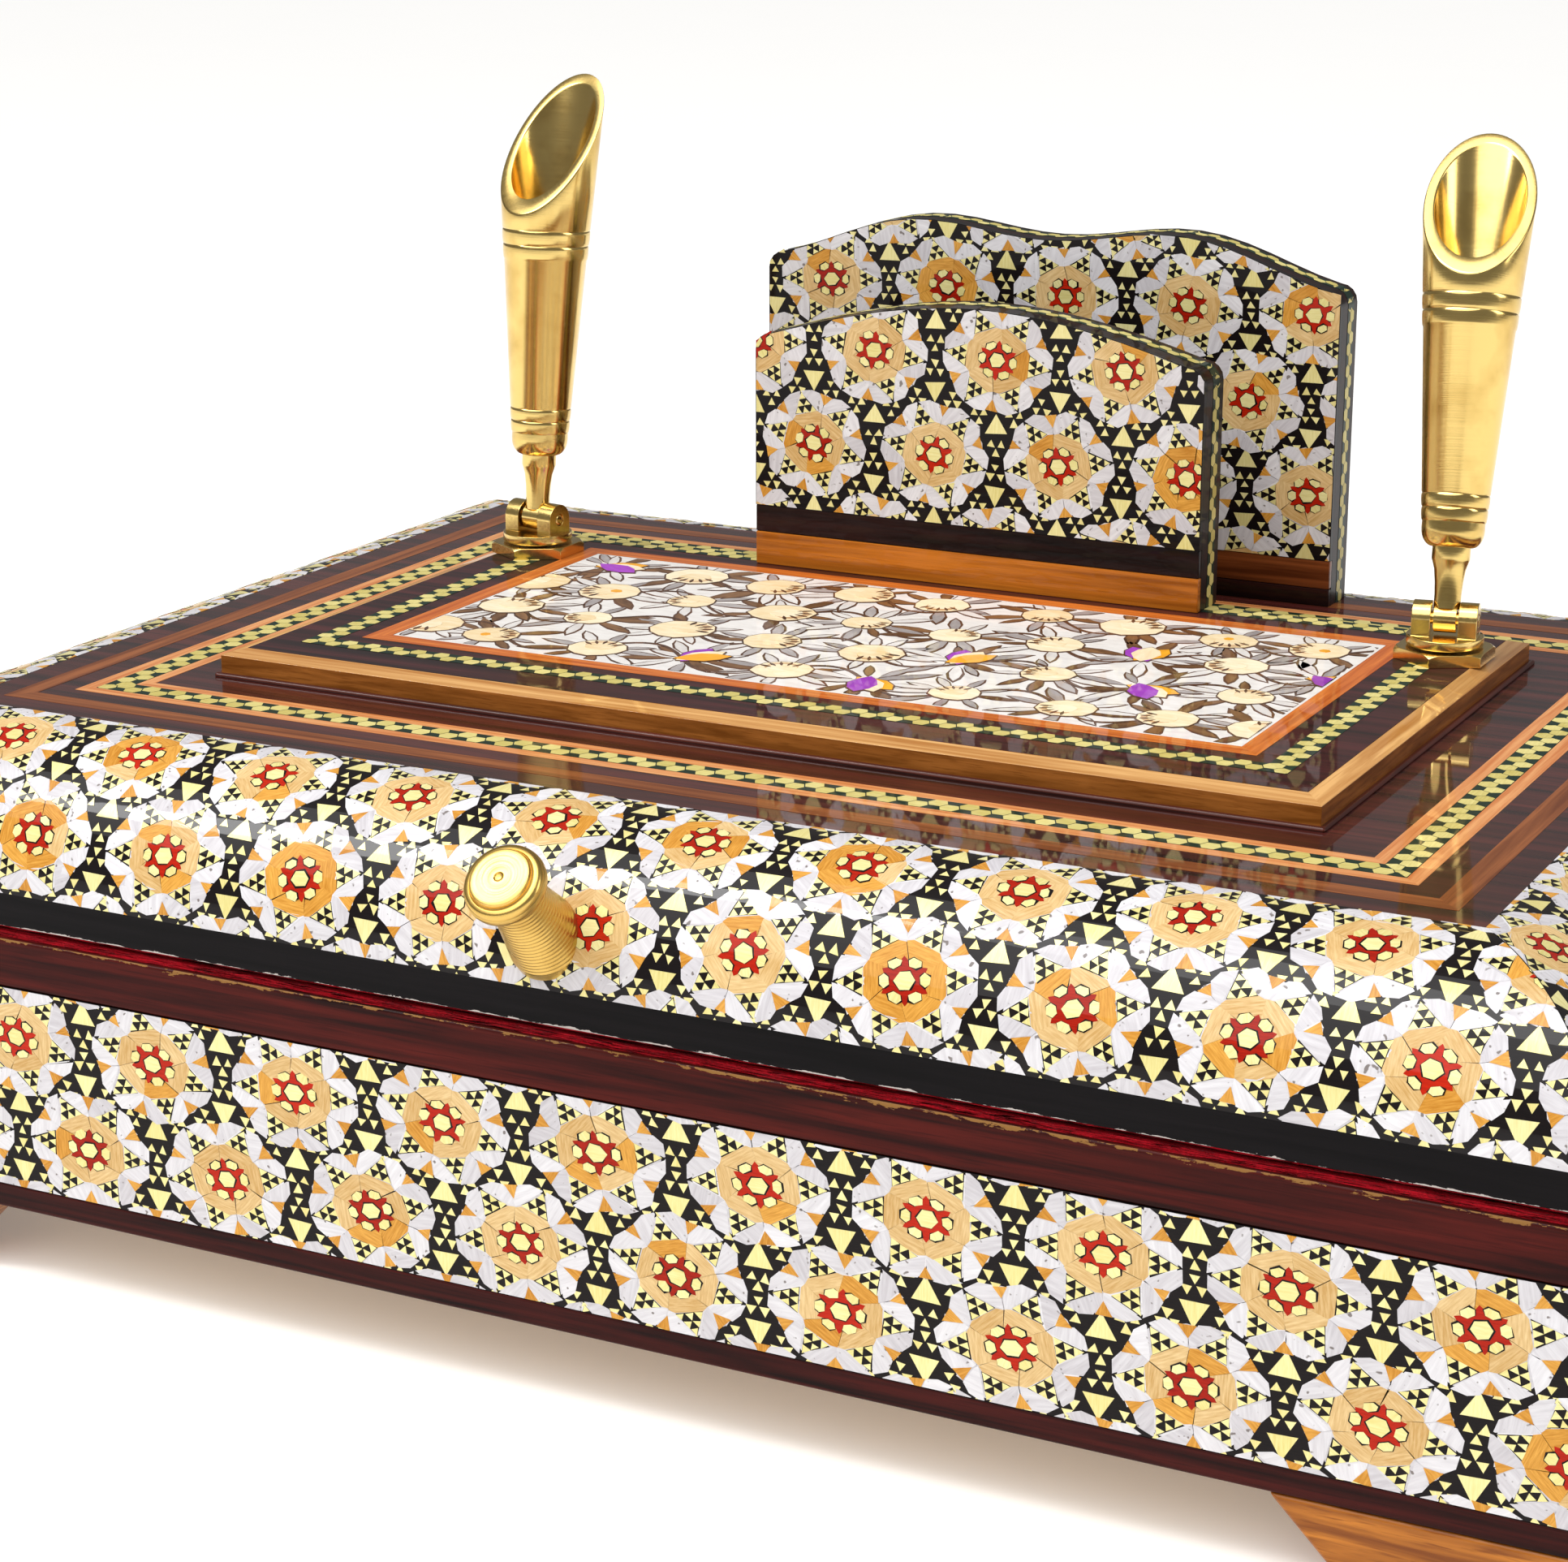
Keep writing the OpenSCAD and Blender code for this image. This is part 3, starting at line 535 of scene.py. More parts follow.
# The edging's top in a lighter wood colour: a painted highlight where light falls on its upward faces.
EDGING_PAINTED_HIGHLIGHT = LacqueredWood("plinth_edging_top", "#DDAB6C", "#B0763A", pitch=0.3, length=34.0)
ORANGE_STRIP = LacqueredWood("orange_wood_strip", "#D07A22", "#93500F", pitch=0.4)
# Dark rack wood for the panels' cores and a base strip. As the rear panel's lowest strip it is painted shade
# at the panel's foot.
DARK_WOOD_AND_SHADE = LacqueredWood("rack_dark_wood", "#2C1512", "#0E0706", Grain.X, 0.5, coat=0.25)
RUSSET_STRIP = LacqueredWood("rack_russet_strip", "#8A4A24", "#54270F", pitch=0.4)
FOOT_WOOD = LacqueredWood("walnut_foot", "#C67A2A", "#7A3F10", Grain.X, 0.5, 14.0, pore=0.8)
BARE_WOOD = LacqueredWood("bare_poplar", "#D9B98C", "#B08B5A", Grain.X, 0.6, coat=0.0)
VELVET = PileCloth("red_velvet", "#B4121F", "#6E0812")
FELT = PileCloth("red_felt", "#BE0F22", "#800812", 0.35, 0.25)
BRASS = TurnedBrass("polished_brass", turned=False, lines=0.08)
TURNED = TurnedBrass("turned_brass", lines=0.16)
LATHED = TurnedBrass("lathe_lined_brass", "#DDB765", "#A97E34", pitch=0.3, lines=0.2, roughness=0.3)
HINGE_BRASS = TurnedBrass("rolled_brass", "#C9A24E", "#8E6A2A", False, 0.3, 0.3, 0.1)
PAINTS = (
    BrushedPaint("off_white_ground", "#EEEAE6", "#D2CCC7"),
    BrushedPaint("brown_stem_paint", "#6A4630", "#3E2618"),
    BrushedPaint("umber_leaf_paint", "#8C6440", "#5A3B22"),
    BrushedPaint("cream_petal_paint", "#FFF2D2", "#EFD3A0"),
    BrushedPaint("blush_petal_paint", "#E2C29A", "#B98A58"),
    BrushedPaint("purple_petal_paint", "#B048CC", "#8A2EA8"),
    BrushedPaint("amber_petal_paint", "#FDB62C", "#E6951A"),
    BrushedPaint("grey_wash_paint", "#B9B2B0", "#938B8A"),
)


def solo(piece: Piece) -> None:
    """Select one piece alone and make it active."""
    bpy.ops.object.select_all(action="DESELECT")
    piece.select_set(True)
    bpy.context.view_layer.objects.active = piece


@contextmanager
def editing(piece: Piece) -> Iterator[None]:
    """Open one piece alone in edit mode, with all of its mesh selected."""
    solo(piece)
    bpy.ops.object.mode_set(mode="EDIT")
    bpy.ops.mesh.select_all(action="SELECT")
    yield
    bpy.ops.object.mode_set(mode="OBJECT")


def apply_modifier(piece: Piece, kind: str, **settings: object) -> None:
    """Add one modifier with its settings and apply it."""
    solo(piece)
    modifier = piece.modifiers.new(kind.lower(), kind)
    for name, value in settings.items():
        setattr(modifier, name, value)
    bpy.ops.object.modifier_apply(modifier=modifier.name)


def round_over(piece: Piece, width: float, segments: int = 3, angle: float = 35.0) -> None:
    """Bevel a piece's sharp edges and shade it so that its flats stay flat.

    Args:
        piece: The piece, with its mesh in metres.
        width: Bevel width in millimetres; none at 0.
        segments: Facets across the bevel.
        angle: Edges sharper than this are bevelled, in degrees.
    """
    if width:
        apply_modifier(
            piece, "BEVEL", width=width * MM, segments=segments, limit_method="ANGLE",
            angle_limit=math.radians(angle), use_clamp_overlap=True,
        )
    solo(piece)
    bpy.ops.object.shade_smooth_by_angle(angle=math.radians(angle))
    apply_modifier(piece, "WEIGHTED_NORMAL", keep_sharp=True)


def dress(piece: Piece, *finishes: Finish) -> None:
    """Give a piece its finishes in place of any materials it has."""
    piece.data.materials.clear()
    for finish in finishes:
        piece.data.materials.append(finish.material())


def settle(piece: Piece, body: str, slot: str, *nodes: str) -> Piece:
    """Let a finished piece ride on its body and stand for model nodes.

    Args:
        piece: The finished piece.
        body: The body that it moves with.
        slot: The record's material slot; not used.
        *nodes: Model nodes that it stands for.

    Returns:
        The piece.
    """
    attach(piece, body)
    if nodes:
        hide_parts(*nodes)
    LOG.info("%s rides on %s", piece.name, body)
    return piece


def link_mesh(
    name: str, points: Sequence[Sequence[float]], edges: Sequence, faces: Sequence
) -> Piece:
    """Make a linked object from points, edges and faces."""
    mesh = bpy.data.meshes.new(name)
    mesh.from_pydata(points, edges, faces)
    piece = bpy.data.objects.new(name, mesh)
    bpy.context.collection.objects.link(piece)
    return piece


def node_copy(node: str, name: str) -> Piece:
    """Copy a model node's mesh into a new piece, merged and freed of needless edges.

    Args:
        node: The model node.
        name: The new piece's name.

    Returns:
        The piece.
    """
    piece = bpy.data.objects.new(name, frame["nodes"][node].data.copy())
    bpy.context.collection.objects.link(piece)
    solo(piece)
    if piece.data.has_custom_normals:
        bpy.ops.mesh.customdata_custom_splitnormals_clear()
    with editing(piece):
        bpy.ops.mesh.remove_doubles(threshold=1e-6)
        bpy.ops.mesh.dissolve_limited(angle_limit=math.radians(0.5))
    for layer in list(piece.data.uv_layers):
        piece.data.uv_layers.remove(layer)
    return piece


def map_round(piece: Piece) -> None:
    """Lay a grain map that runs along each side of a frame-shaped or straight piece."""
    mesh = piece.data
    corners = [Vector(c) for c in piece.bound_box]
    lo = Vector([min(c[i] for c in corners) for i in range(3)])
    hi = Vector([max(c[i] for c in corners) for i in range(3)])
    mid, half = (lo + hi) / 2, (hi - lo) / 2
    layer = mesh.uv_layers.get(GRAIN) or mesh.uv_layers.new(name=GRAIN)
    for polygon in mesh.polygons:
        away = polygon.center - mid
        along_x = half.y - abs(away.y) < half.x - abs(away.x)
        side = (1 if away.y > 0 else 2) if along_x else (3 if away.x > 0 else 4)
        for loop in polygon.loop_indices:
            co = mesh.vertices[mesh.loops[loop].vertex_index].co / MM
            u, v = (co.x, co.y + co.z) if along_x else (co.y, co.x + co.z)
            layer.data[loop].uv = (u + 311.0 * side, v + 17.0 * side)


def softened(node: str, finish: Finish, width: float, segments: int = 3) -> Piece:
    """Copy a node's solid with its edges rounded over, dressed and in the node's place.

    Args:
        node: The model node to stand for.
        finish: The piece's finish.
        width: Bevel width in millimetres.
        segments: Facets across the bevel.

    Returns:
        The settled piece.
    """
    piece = node_copy(node, f"{node}_shaped")
    round_over(piece, width, segments)
    map_round(piece)
    dress(piece, finish)
    return settle(piece, BODIES[node], SLOTS[node], node)


def finish_nodes(finish: Finish, *nodes: str) -> None:
    """Give model nodes that show as they are a finish."""
    for node in nodes:
        frame["nodes"][node].material_slots[0].material = finish.material()


def primitive(
    name: str, add: Callable[..., object], scale: Sequence[float] = (1, 1, 1), **settings: object
) -> Piece:
    """Add one plain shape, named, scaled and with its transform applied.

    Args:
        name: The piece's name.
        add: The operator that adds the shape.
        scale: The shape's scale.
        **settings: The operator's own settings.

    Returns:
        The piece.
    """
    bpy.ops.object.select_all(action="DESELECT")
    add(**settings)
    piece = bpy.context.active_object
    piece.name = name
    piece.scale = scale
    bpy.ops.object.transform_apply(location=True, rotation=True, scale=True)
    return piece


def block(
    name: str, lo: Sequence[float], hi: Sequence[float], finish: Finish, bevel: float
) -> Piece:
    """Model a strip of wood between two corners, with eased edges.

    Args:
        name: The piece's name.
        lo: Lowest corner in millimetres.
        hi: Highest corner in millimetres.
        finish: The piece's finish.
        bevel: Width of the eased edges in millimetres.

    Returns:
        The dressed piece, not yet settled.
    """
    low, high = Vector(lo) * MM, Vector(hi) * MM
    piece = primitive(
        name, bpy.ops.mesh.primitive_cube_add, high - low, size=1, location=(low + high) / 2
    )
    round_over(piece, bevel, 2)
    map_round(piece)
    dress(piece, finish)
    return piece


def banding(
    name: str, lo: Vector, hi: Vector, width: float, top: float, finish: Finish, depth: float = 0.3
) -> Piece:
    """Model a mitred flat frame that is let into a top.

    Args:
        name: The piece's name.
        lo: Lowest outer corner on plan, in millimetres.
        hi: Highest outer corner on plan.
        width: Width of the frame's strips.
        top: Height of its face.
        finish: Its finish.
        depth: How far it goes down.

    Returns:
        The dressed piece, not yet settled.
    """
    mid, size = (lo + hi) / 2 * MM, (hi - lo) * MM
    piece = primitive(
        name, bpy.ops.mesh.primitive_plane_add, (size.x, size.y, 1), size=1, location=(mid.x, mid.y, top * MM)
    )
    with editing(piece):
        bpy.ops.mesh.inset(thickness=width * MM)
        bpy.ops.mesh.delete(type="FACE")
    apply_modifier(piece, "SOLIDIFY", thickness=depth * MM, offset=-1)
    map_round(piece)
    dress(piece, finish)
    return piece


def ragged(piece: Piece, seed: str, amount: float) -> None:
    """Fray a felt strip's edges by a small amount in millimetres."""
    with editing(piece):
        bpy.ops.mesh.subdivide(number_cuts=60)
    rng = random.Random(seed)
    for vertex in piece.data.vertices:
        vertex.co += Vector((rng.gauss(0, 0.4), rng.gauss(0, 0.4), rng.gauss(0, 0.5))) * amount * MM
    solo(piece)
    bpy.ops.object.shade_smooth()


def join(pieces: Sequence[Piece]) -> Piece:
    """Join pieces into the first one and give it."""
    bpy.ops.object.select_all(action="DESELECT")
    for piece in pieces:
        piece.select_set(True)
    bpy.context.view_layer.objects.active = pieces[0]
    bpy.ops.object.join()
    return pieces[0]


def lathe(name: str, profile: Sequence[tuple[float, float]], steps: int = 64) -> Piece:
    """Spin a profile about Z into a closed shell.

    Args:
        name: The piece's name.
        profile: Radius and height of each point in millimetres, from foot to head.
        steps: Facets round.

    Returns:
        The piece, with its mesh in metres at the origin.
    """
    points = [(r * MM, 0.0, h * MM) for r, h in profile]
    piece = link_mesh(name, points, [(i, i + 1) for i in range(len(points) - 1)], [])
    with editing(piece):
        bpy.ops.mesh.spin(steps=steps, angle=math.tau, center=(0, 0, 0), axis=(0, 0, 1))
        bpy.ops.mesh.select_all(action="SELECT")
        bpy.ops.mesh.remove_doubles(threshold=1e-6)
        bpy.ops.mesh.normals_make_consistent(inside=False)
    return piece


def map_turned(piece: Piece) -> None:
    """Lay a map whose second axis runs along a turned profile, in millimetres."""
    mesh = piece.data
    layer = mesh.uv_layers.get(GRAIN) or mesh.uv_layers.new(name=GRAIN)
    for loop in mesh.loops:
        co = mesh.vertices[loop.vertex_index].co / MM
        radius = math.hypot(co.x, co.y)
        layer.data[loop.index].uv = (math.atan2(co.y, co.x) * 10, co.z + 0.8 * radius)


class Surface(ABC):
    """Where a flat sheet of tiles is laid: along, across and out of a face."""

    # Distance between bends across it, 0 where it is flat, and the angle past which edges stay sharp.
    step = 0.0
    sharp = 35.0

    @abstractmethod
    def at(self, p: Vector) -> Vector:
        """Give the place in metres of a sheet point in millimetres."""


@dataclass
class FlatFace(Surface):
    """A flat face with its own frame, whose Z points outwards."""

    place: Matrix

    def at(self, p: Vector) -> Vector:
        """Give the place in metres of a sheet point in millimetres."""
        return (self.place @ p) * MM


@dataclass
class RollFace(Surface):
    """A quarter-round roll: along it, up its arc from the foot, and out."""

    place: Matrix
    radius: float
    step = 1.6
    sharp = 30.0

    def at(self, p: Vector) -> Vector:
        """Give the place in metres of a sheet point in millimetres."""
        angle = p.y / self.radius
        reach = self.radius + p.z
        spot = Vector((p.x, reach * math.sin(angle), reach * math.cos(angle) - self.radius))
        return (self.place @ spot) * MM

    def out(self, p: Vector) -> Vector:
        """Give the roll's outward direction at a sheet point."""
        angle = p.y / self.radius
        return self.place.to_3x3() @ Vector((0, math.sin(angle), math.cos(angle)))


@dataclass
class EdgeFace(Surface):
    """The edge of an upright panel: along its outline, back from its face, and out."""

    outline: Sequence[Vector]
    front: float
    lengths: list[float] = field(default_factory=list)

    def __post_init__(self) -> None:
        """Add up the outline's length."""
        self.lengths = [0.0]
        for a, b in zip(self.outline, self.outline[1:]):
            self.lengths.append(self.lengths[-1] + (b - a).length)

    def stretch(self, along: float) -> tuple[Vector, Vector]:
        """Give the point at a distance along the outline, and the outward direction there.

        Args:
            along: Distance from the outline's start in millimetres.

        Returns:
            Point and unit direction, each as (x, z).
        """
        i = 0
        while i < len(self.lengths) - 2 and self.lengths[i + 1] < along:
            i += 1
        way = (self.outline[i + 1] - self.outline[i]).normalized()
        return self.outline[i] + way * (along - self.lengths[i]), Vector((-way.y, way.x))

    def at(self, p: Vector) -> Vector:
        """Give the place in metres of a sheet point in millimetres."""
        point, away = self.stretch(p.x)
        point = point + away * p.z
        return Vector((point.x, self.front + p.y, point.y)) * MM


@dataclass
class Tile:
    """One flat tile: its outline in sheet millimetres, its slot, level and grain turn."""

    outline: list[Vector]
    kind: int
    level: float = 1.0
    turn: float = 0.0


def clip(outline: Sequence[Vector], point: Vector, inward: Vector) -> list[Vector]:
    """Cut an outline by a straight line and keep the inner part.

    Args:
        outline: The corners in order.
        point: A point on the line.
        inward: Direction from the line to the part that stays.

    Returns:
        The corners that are left, which may be none.
    """
    kept: list[Vector] = []
    for i, here in enumerate(outline):
        before = outline[i - 1]
        now, then = (here - point).dot(inward), (before - point).dot(inward)
        if (now >= 0) != (then >= 0):
            kept.append(before.lerp(here, then / (then - now)))
        if now >= 0:
            kept.append(here)
    return kept


def area_of(outline: Sequence[Vector]) -> float:
    """Give an outline's signed area, positive where it runs anticlockwise."""
    return sum(outline[i - 1].cross(outline[i]) for i in range(len(outline))) / 2


def shrunk(outline: Sequence[Vector], share: float) -> list[Vector]:
    """Draw an outline in towards its middle to a share of its size."""
    mid = sum(outline, Vector((0, 0))) / len(outline)
    return [mid + (p - mid) * share for p in outline]


def polar(radius: float, degrees: float) -> Vector:
    """Give the plane point at a radius and an angle."""
    return Vector((radius * math.cos(math.radians(degrees)), radius * math.sin(math.radians(degrees))))


Border = Callable[[Vector], tuple[Vector, Vector]]


def straight(x: float, y: float, way_x: float, way_y: float) -> Border:
    """Give a border along one fixed line, through a point and with its inward direction."""
    return lambda _: (Vector((x, y)), Vector((way_x, way_y)))


def rectangle(lo: Vector, hi: Vector) -> list[Border]:
    """Give the right, left, lower and upper borders of an upright rectangle."""
    return [
        straight(hi.x, 0, -1, 0), straight(lo.x, 0, 1, 0),
        straight(0, lo.y, 0, 1), straight(0, hi.y, 0, -1),
    ]


class TileSheet:
    """Tiles that are cut to a region, thickened and laid on a surface as one piece."""

    def __init__(self, name: str, finishes: Sequence[Finish], borders: Sequence[Border] = ()) -> None:
        """Start an empty sheet.

        Args:
            name: Name of the piece to come.
            finishes: Finishes in the order of the tiles' kinds.
            borders: Lines to cut by, each found from a tile's middle.
        """
        self.name = name
        self.finishes = finishes
        self.borders = borders
        self.tiles: list[Tile] = []

    def add(self, tile: Tile) -> None:
        """Cut a tile to the region and keep what is left of it."""
        outline = tile.outline
        for border in self.borders:
            if len(outline) < 3:
                return
            mid = sum(outline, Vector((0, 0))) / len(outline)
            outline = clip(outline, *border(mid))
        if len(outline) < 3:
            return
        area = area_of(outline)
        if abs(area) < TILE_LEAST:
            return
        self.tiles.append(Tile(outline if area > 0 else outline[::-1], tile.kind, tile.level, tile.turn))

    def fill(self, tiles: Iterable[Tile]) -> None:
        """Cut tiles to the region in turn."""
        for tile in tiles:
            self.add(tile)

    def lay(self, surface: Surface) -> Piece:
        """Build the tiles as closed solids on a surface.

        Args:
            surface: Where the sheet lies.

        Returns:
            The dressed piece, not yet settled.
        """
        rng = random.Random(self.name)
        points: list[tuple[float, float, float]] = []
        faces: list[list[int]] = []
        for tile in self.tiles:
            faces.append(list(range(len(points), len(points) + len(tile.outline))))
            points += [(p.x, p.y, tile.level * LEVEL + TILE_FOOT) for p in tile.outline]
        piece = link_mesh(self.name, points, [], faces)
        mesh = piece.data
        dress(piece, *self.finishes)
        mesh.polygons.foreach_set("material_index", [int(tile.kind) for tile in self.tiles])
        tints = mesh.attributes.new(TINT, "FLOAT", "FACE")
        tints.data.foreach_set("value", [rng.random() for _ in self.tiles])
        layer = mesh.uv_layers.new(name=GRAIN)
        for polygon, tile in zip(mesh.polygons, self.tiles):
            turn = Matrix.Rotation(math.radians(-tile.turn), 2)
            shift = Vector((rng.uniform(0, 200), rng.uniform(0, 200)))
            for loop in polygon.loop_indices:
                layer.data[loop].uv = turn @ mesh.vertices[mesh.loops[loop].vertex_index].co.xy + shift
        if surface.step:
            self.bend_lines(piece, surface.step)
        apply_modifier(piece, "SOLIDIFY", thickness=TILE_THICK, offset=-1)
        self.wrap(piece, surface)
        return piece

    def inlay(self, node: str, name: str, surface: Surface) -> None:
        """Lay the sheet over a node's solid, and put both in the node's place.

        Args:
            node: The model node.
            name: The new piece's name.
            surface: Where the sheet lies.
        """
        tiles = self.lay(surface)
        ground = node_copy(node, name)
        round_over(ground, 0, angle=surface.sharp)
        map_round(ground)
        dress(ground, *self.finishes)
        settle(join([ground, tiles]), BODIES[node], SLOTS[node], node)

    def bend_lines(self, piece: Piece, step: float) -> None:
        """Cut a sheet across at even steps, so that it can follow a curve."""
        low = min(v.co.y for v in piece.data.vertices)
        high = max(v.co.y for v in piece.data.vertices)
        with editing(piece):
            for i in range(math.ceil(low / step), math.floor(high / step) + 1):
                bpy.ops.mesh.select_all(action="SELECT")
                bpy.ops.mesh.bisect(plane_co=(0, i * step, 0), plane_no=(0, 1, 0))

    def wrap(self, piece: Piece, surface: Surface) -> None:
        """Move a flat sheet's points onto a surface, with true normals where it curves."""
        mesh = piece.data
        flat = [v.co.copy() for v in mesh.vertices]
        tops = [polygon.normal.z > 0.7 for polygon in mesh.polygons]
        for vertex, p in zip(mesh.vertices, flat):
            vertex.co = surface.at(p)
        mesh.update()
        if isinstance(surface, RollFace):
            mesh.polygons.foreach_set("use_smooth", [True] * len(mesh.polygons))
            normals = [Vector((0, 0, 1))] * len(mesh.loops)
            for polygon, top in zip(mesh.polygons, tops):
                for loop in polygon.loop_indices:
                    p = flat[mesh.loops[loop].vertex_index]
                    normals[loop] = surface.out(p) if top else polygon.normal
            mesh.normals_split_custom_set(normals)


@dataclass(frozen=True)
class Khatam:
    """The rod mosaic: six-pointed rosettes in staggered rows, with gold triangles between.

    Shares are of the spacing between rosettes in a row; a rosette's height is a share of its width.
    """

    spacing: float
    row_pitch: float
    first_along: float
    first_up: float
    tall: float = 0.9
    size: float = 0.945
    core: float = 0.066
    star: float = 0.168
    ring_in: float = 0.118
    ring: float = 0.283
    tip: float = 0.443
    reach: float = 0.464
    # How far hand-set corners stray, and how unevenly rosettes stand.
    stray: float = 0.0032
    uneven: float = 0.3
    # Corners of a lozenge, outwards and sideways from its middle.
    lozenge: tuple[tuple[float, float], ...] = (
        (-0.028, 0.025), (-0.028, -0.025), (0, -0.047), (0.031, -0.027), (0.031, 0.027), (0, 0.047),
    )
    # Middles of the three small triangles at a corner of a field, outwards and sideways.
    trio: tuple[tuple[float, float], ...] = ((0.14, 0.042), (0.14, -0.042), (0.212, 0))

    def rosette(self, rng: random.Random) -> Iterator[Tile]:
        """Give the tiles of one rosette, in shares of the spacing.

        Args:
            rng: The mosaic's own run of chance.

        Yields:
            The tiles from the outside in.
        """
        twist = rng.uniform(-18, 18)
        warm = Rod.ORANGE if rng.random() < 0.1 else Rod.TAN
        swirl = rng.choice((-14, 14))
        for k in range(12):
            low, high = 30 * k + twist, 30 * k + 30 + twist
            yield Tile([
                polar(self.ring - 0.02, low), polar(self.reach - 0.03, low),
                polar(self.reach - 0.03, high), polar(self.ring - 0.02, high),
            ], Rod.BONE, 0.6)
        for k in range(6):
            tip = 60 * k + twist
            notch = tip + 30
            heart = rng.uniform(0.312, 0.345)
            gape = rng.uniform(5.8, 8.6)
            for hand in (-1, 1):
                yield Tile([
                    polar(self.ring - 0.011, notch + hand * 0.4),
                    polar(self.ring + 0.007, notch + hand * 9),
                    polar(self.tip + 0.008, notch + hand * 28.6),
                    polar(self.reach - 0.002, notch + hand * 29),
                    polar(self.reach + rng.uniform(-0.004, 0.01), notch + hand * 17),
                    polar(self.reach - 0.028, notch + hand * gape),
                    polar(heart - 0.008, notch + hand * 0.5),
                ], Rod.BONE, 1, rng.uniform(0, 360))
            yield Tile([
                polar(heart, notch), polar(self.reach - 0.032, notch - gape + 0.6),
                polar(self.reach - 0.032, notch + gape - 0.6),
            ], Rod.ORANGE, 2, notch + rng.uniform(-20, 20))
            a, b, c = polar(self.ring, tip - 20), polar(self.ring, tip + 20), polar(self.tip, tip)
            yield Tile([a, b, c], Rod.EBONY, 1.5)
            across, up = (b - a) / 3, (c - a) / 3
            for row in range(3):
                for place in range(3 - row):
                    corner = a + across * place + up * row
                    yield Tile(shrunk([corner, corner + across, corner + up], 0.87), Rod.GOLD, 2, tip + 90)
            wood = warm if rng.random() < 0.85 else (Rod.ORANGE if warm is Rod.TAN else Rod.TAN)
            yield Tile([
                polar(self.ring_in, tip - 30 + swirl), polar(self.ring - 0.015, tip - 30),
                polar(self.ring - 0.003, tip - 20), polar(self.ring - 0.003, tip + 20),
                polar(self.ring - 0.015, tip + 30), polar(self.ring_in, tip + 30 + swirl),
            ], wood, 1, tip + 90 + rng.uniform(-12, 12))
        yield Tile([polar(self.star if k % 2 else 0.11, 30 * k + twist) for k in range(12)], Rod.RED, 2)
        for k in range(6):
            tip = 60 * k + twist
            along, side = polar(1, tip), polar(1, tip + 90)
            middle = along * rng.uniform(0.126, 0.132)
            lozenge = [middle + along * u + side * v for u, v in self.lozenge]
            yield Tile(shrunk(lozenge, 1.16), Rod.EBONY, 3, tip)
            yield Tile(lozenge, Rod.GOLD, 4, tip)
        heart = [polar(self.core * rng.uniform(0.94, 1.08), 60 * k + twist) for k in range(6)]
        yield Tile(shrunk(heart, 1.14), Rod.EBONY, 3)
        yield Tile(heart, Rod.GOLD, 4)

    def field(self, hand: int, rng: random.Random) -> Iterator[Tile]:
        """Give the gold triangles of the field between three rosettes.

        Args:
            hand: 1 where the field points up, -1 where it points down.
            rng: The mosaic's own run of chance.

        Yields:
            One large triangle and three groups of three small ones.
        """
        corners = [90 * hand + 120 * k for k in range(3)]
        yield Tile([polar(0.1 * rng.uniform(0.94, 1.06), a) for a in corners], Rod.GOLD, 0.4, 90)
        for k in range(3):
            out = polar(1, 270 * hand + 120 * k)
            side = Vector((-out.y, out.x))
            for radial, tangent in self.trio:
                middle = out * radial + side * tangent
                middle.y *= self.tall
                size = 0.036 * rng.uniform(0.88, 1.08)
                yield Tile([middle + polar(size, a) for a in corners], Rod.GOLD, 0.4, 90)

    def cover(self, lo: Vector, hi: Vector, seed: str) -> Iterator[Tile]:
        """Give the tiles that cover a rectangle of the sheet, in millimetres.

        Args:
            lo: Lowest corner of the rectangle.
            hi: Highest corner.
            seed: Name that starts the mosaic's own run of chance.

        Yields:
            Tiles that reach into the rectangle, not yet cut to it.
        """
        rng = random.Random(seed)
        squash = self.row_pitch / (self.spacing * math.sqrt(0.75))
        first = math.floor((lo.y - self.first_up) / self.row_pitch) - 1
        last = math.ceil((hi.y - self.first_up) / self.row_pitch) + 1
        for row in range(first, last + 1):
            start = self.first_along + (row % 2) * self.spacing / 2
            left = math.floor((lo.x - start) / self.spacing) - 1
            right = math.ceil((hi.x - start) / self.spacing) + 1
            for place in range(left, right + 1):
                middle = Vector((start + place * self.spacing, self.first_up + row * self.row_pitch))
                groups = (
                    (Vector((0, 0)), Vector((self.size, self.size * self.tall)), self.rosette(rng)),
                    (Vector((0.5, 0.2887 * squash)), Vector((1, 1)), self.field(1, rng)),
                    (Vector((0, 0.5774 * squash)), Vector((1, 1)), self.field(-1, rng)),
                )
                lift = self.uneven * rng.random()
                for offset, share, tiles in groups:
                    for tile in tiles:
                        outline = []
                        for p in tile.outline:
                            q = p + Vector((rng.gauss(0, self.stray), rng.gauss(0, self.stray)))
                            outline.append(middle + (offset + q * share) * self.spacing)
                        level = tile.level + (lift if tile.level > 0.5 else 0)
                        yield Tile(outline, tile.kind, level, tile.turn)

    def inlay(
        self, node: str, lo: Vector, hi: Vector, borders: Sequence[Border], surface: Surface,
        finishes: Sequence[Finish] = MOSAIC,
    ) -> None:
        """Cover a node's face with the mosaic and put both in the node's place.

        Args:
            node: The model node, whose name starts the mosaic's run of chance.
            lo: Lowest corner of the sheet to cover.
            hi: Highest corner.
            borders: Lines to cut by.
            surface: Where the sheet lies.
            finishes: Finishes in the order of the rods.
        """
        sheet = TileSheet(f"{node}_tiles", finishes, borders)
        sheet.fill(self.cover(lo, hi, node))
        sheet.inlay(node, f"{node}_mosaic", surface)


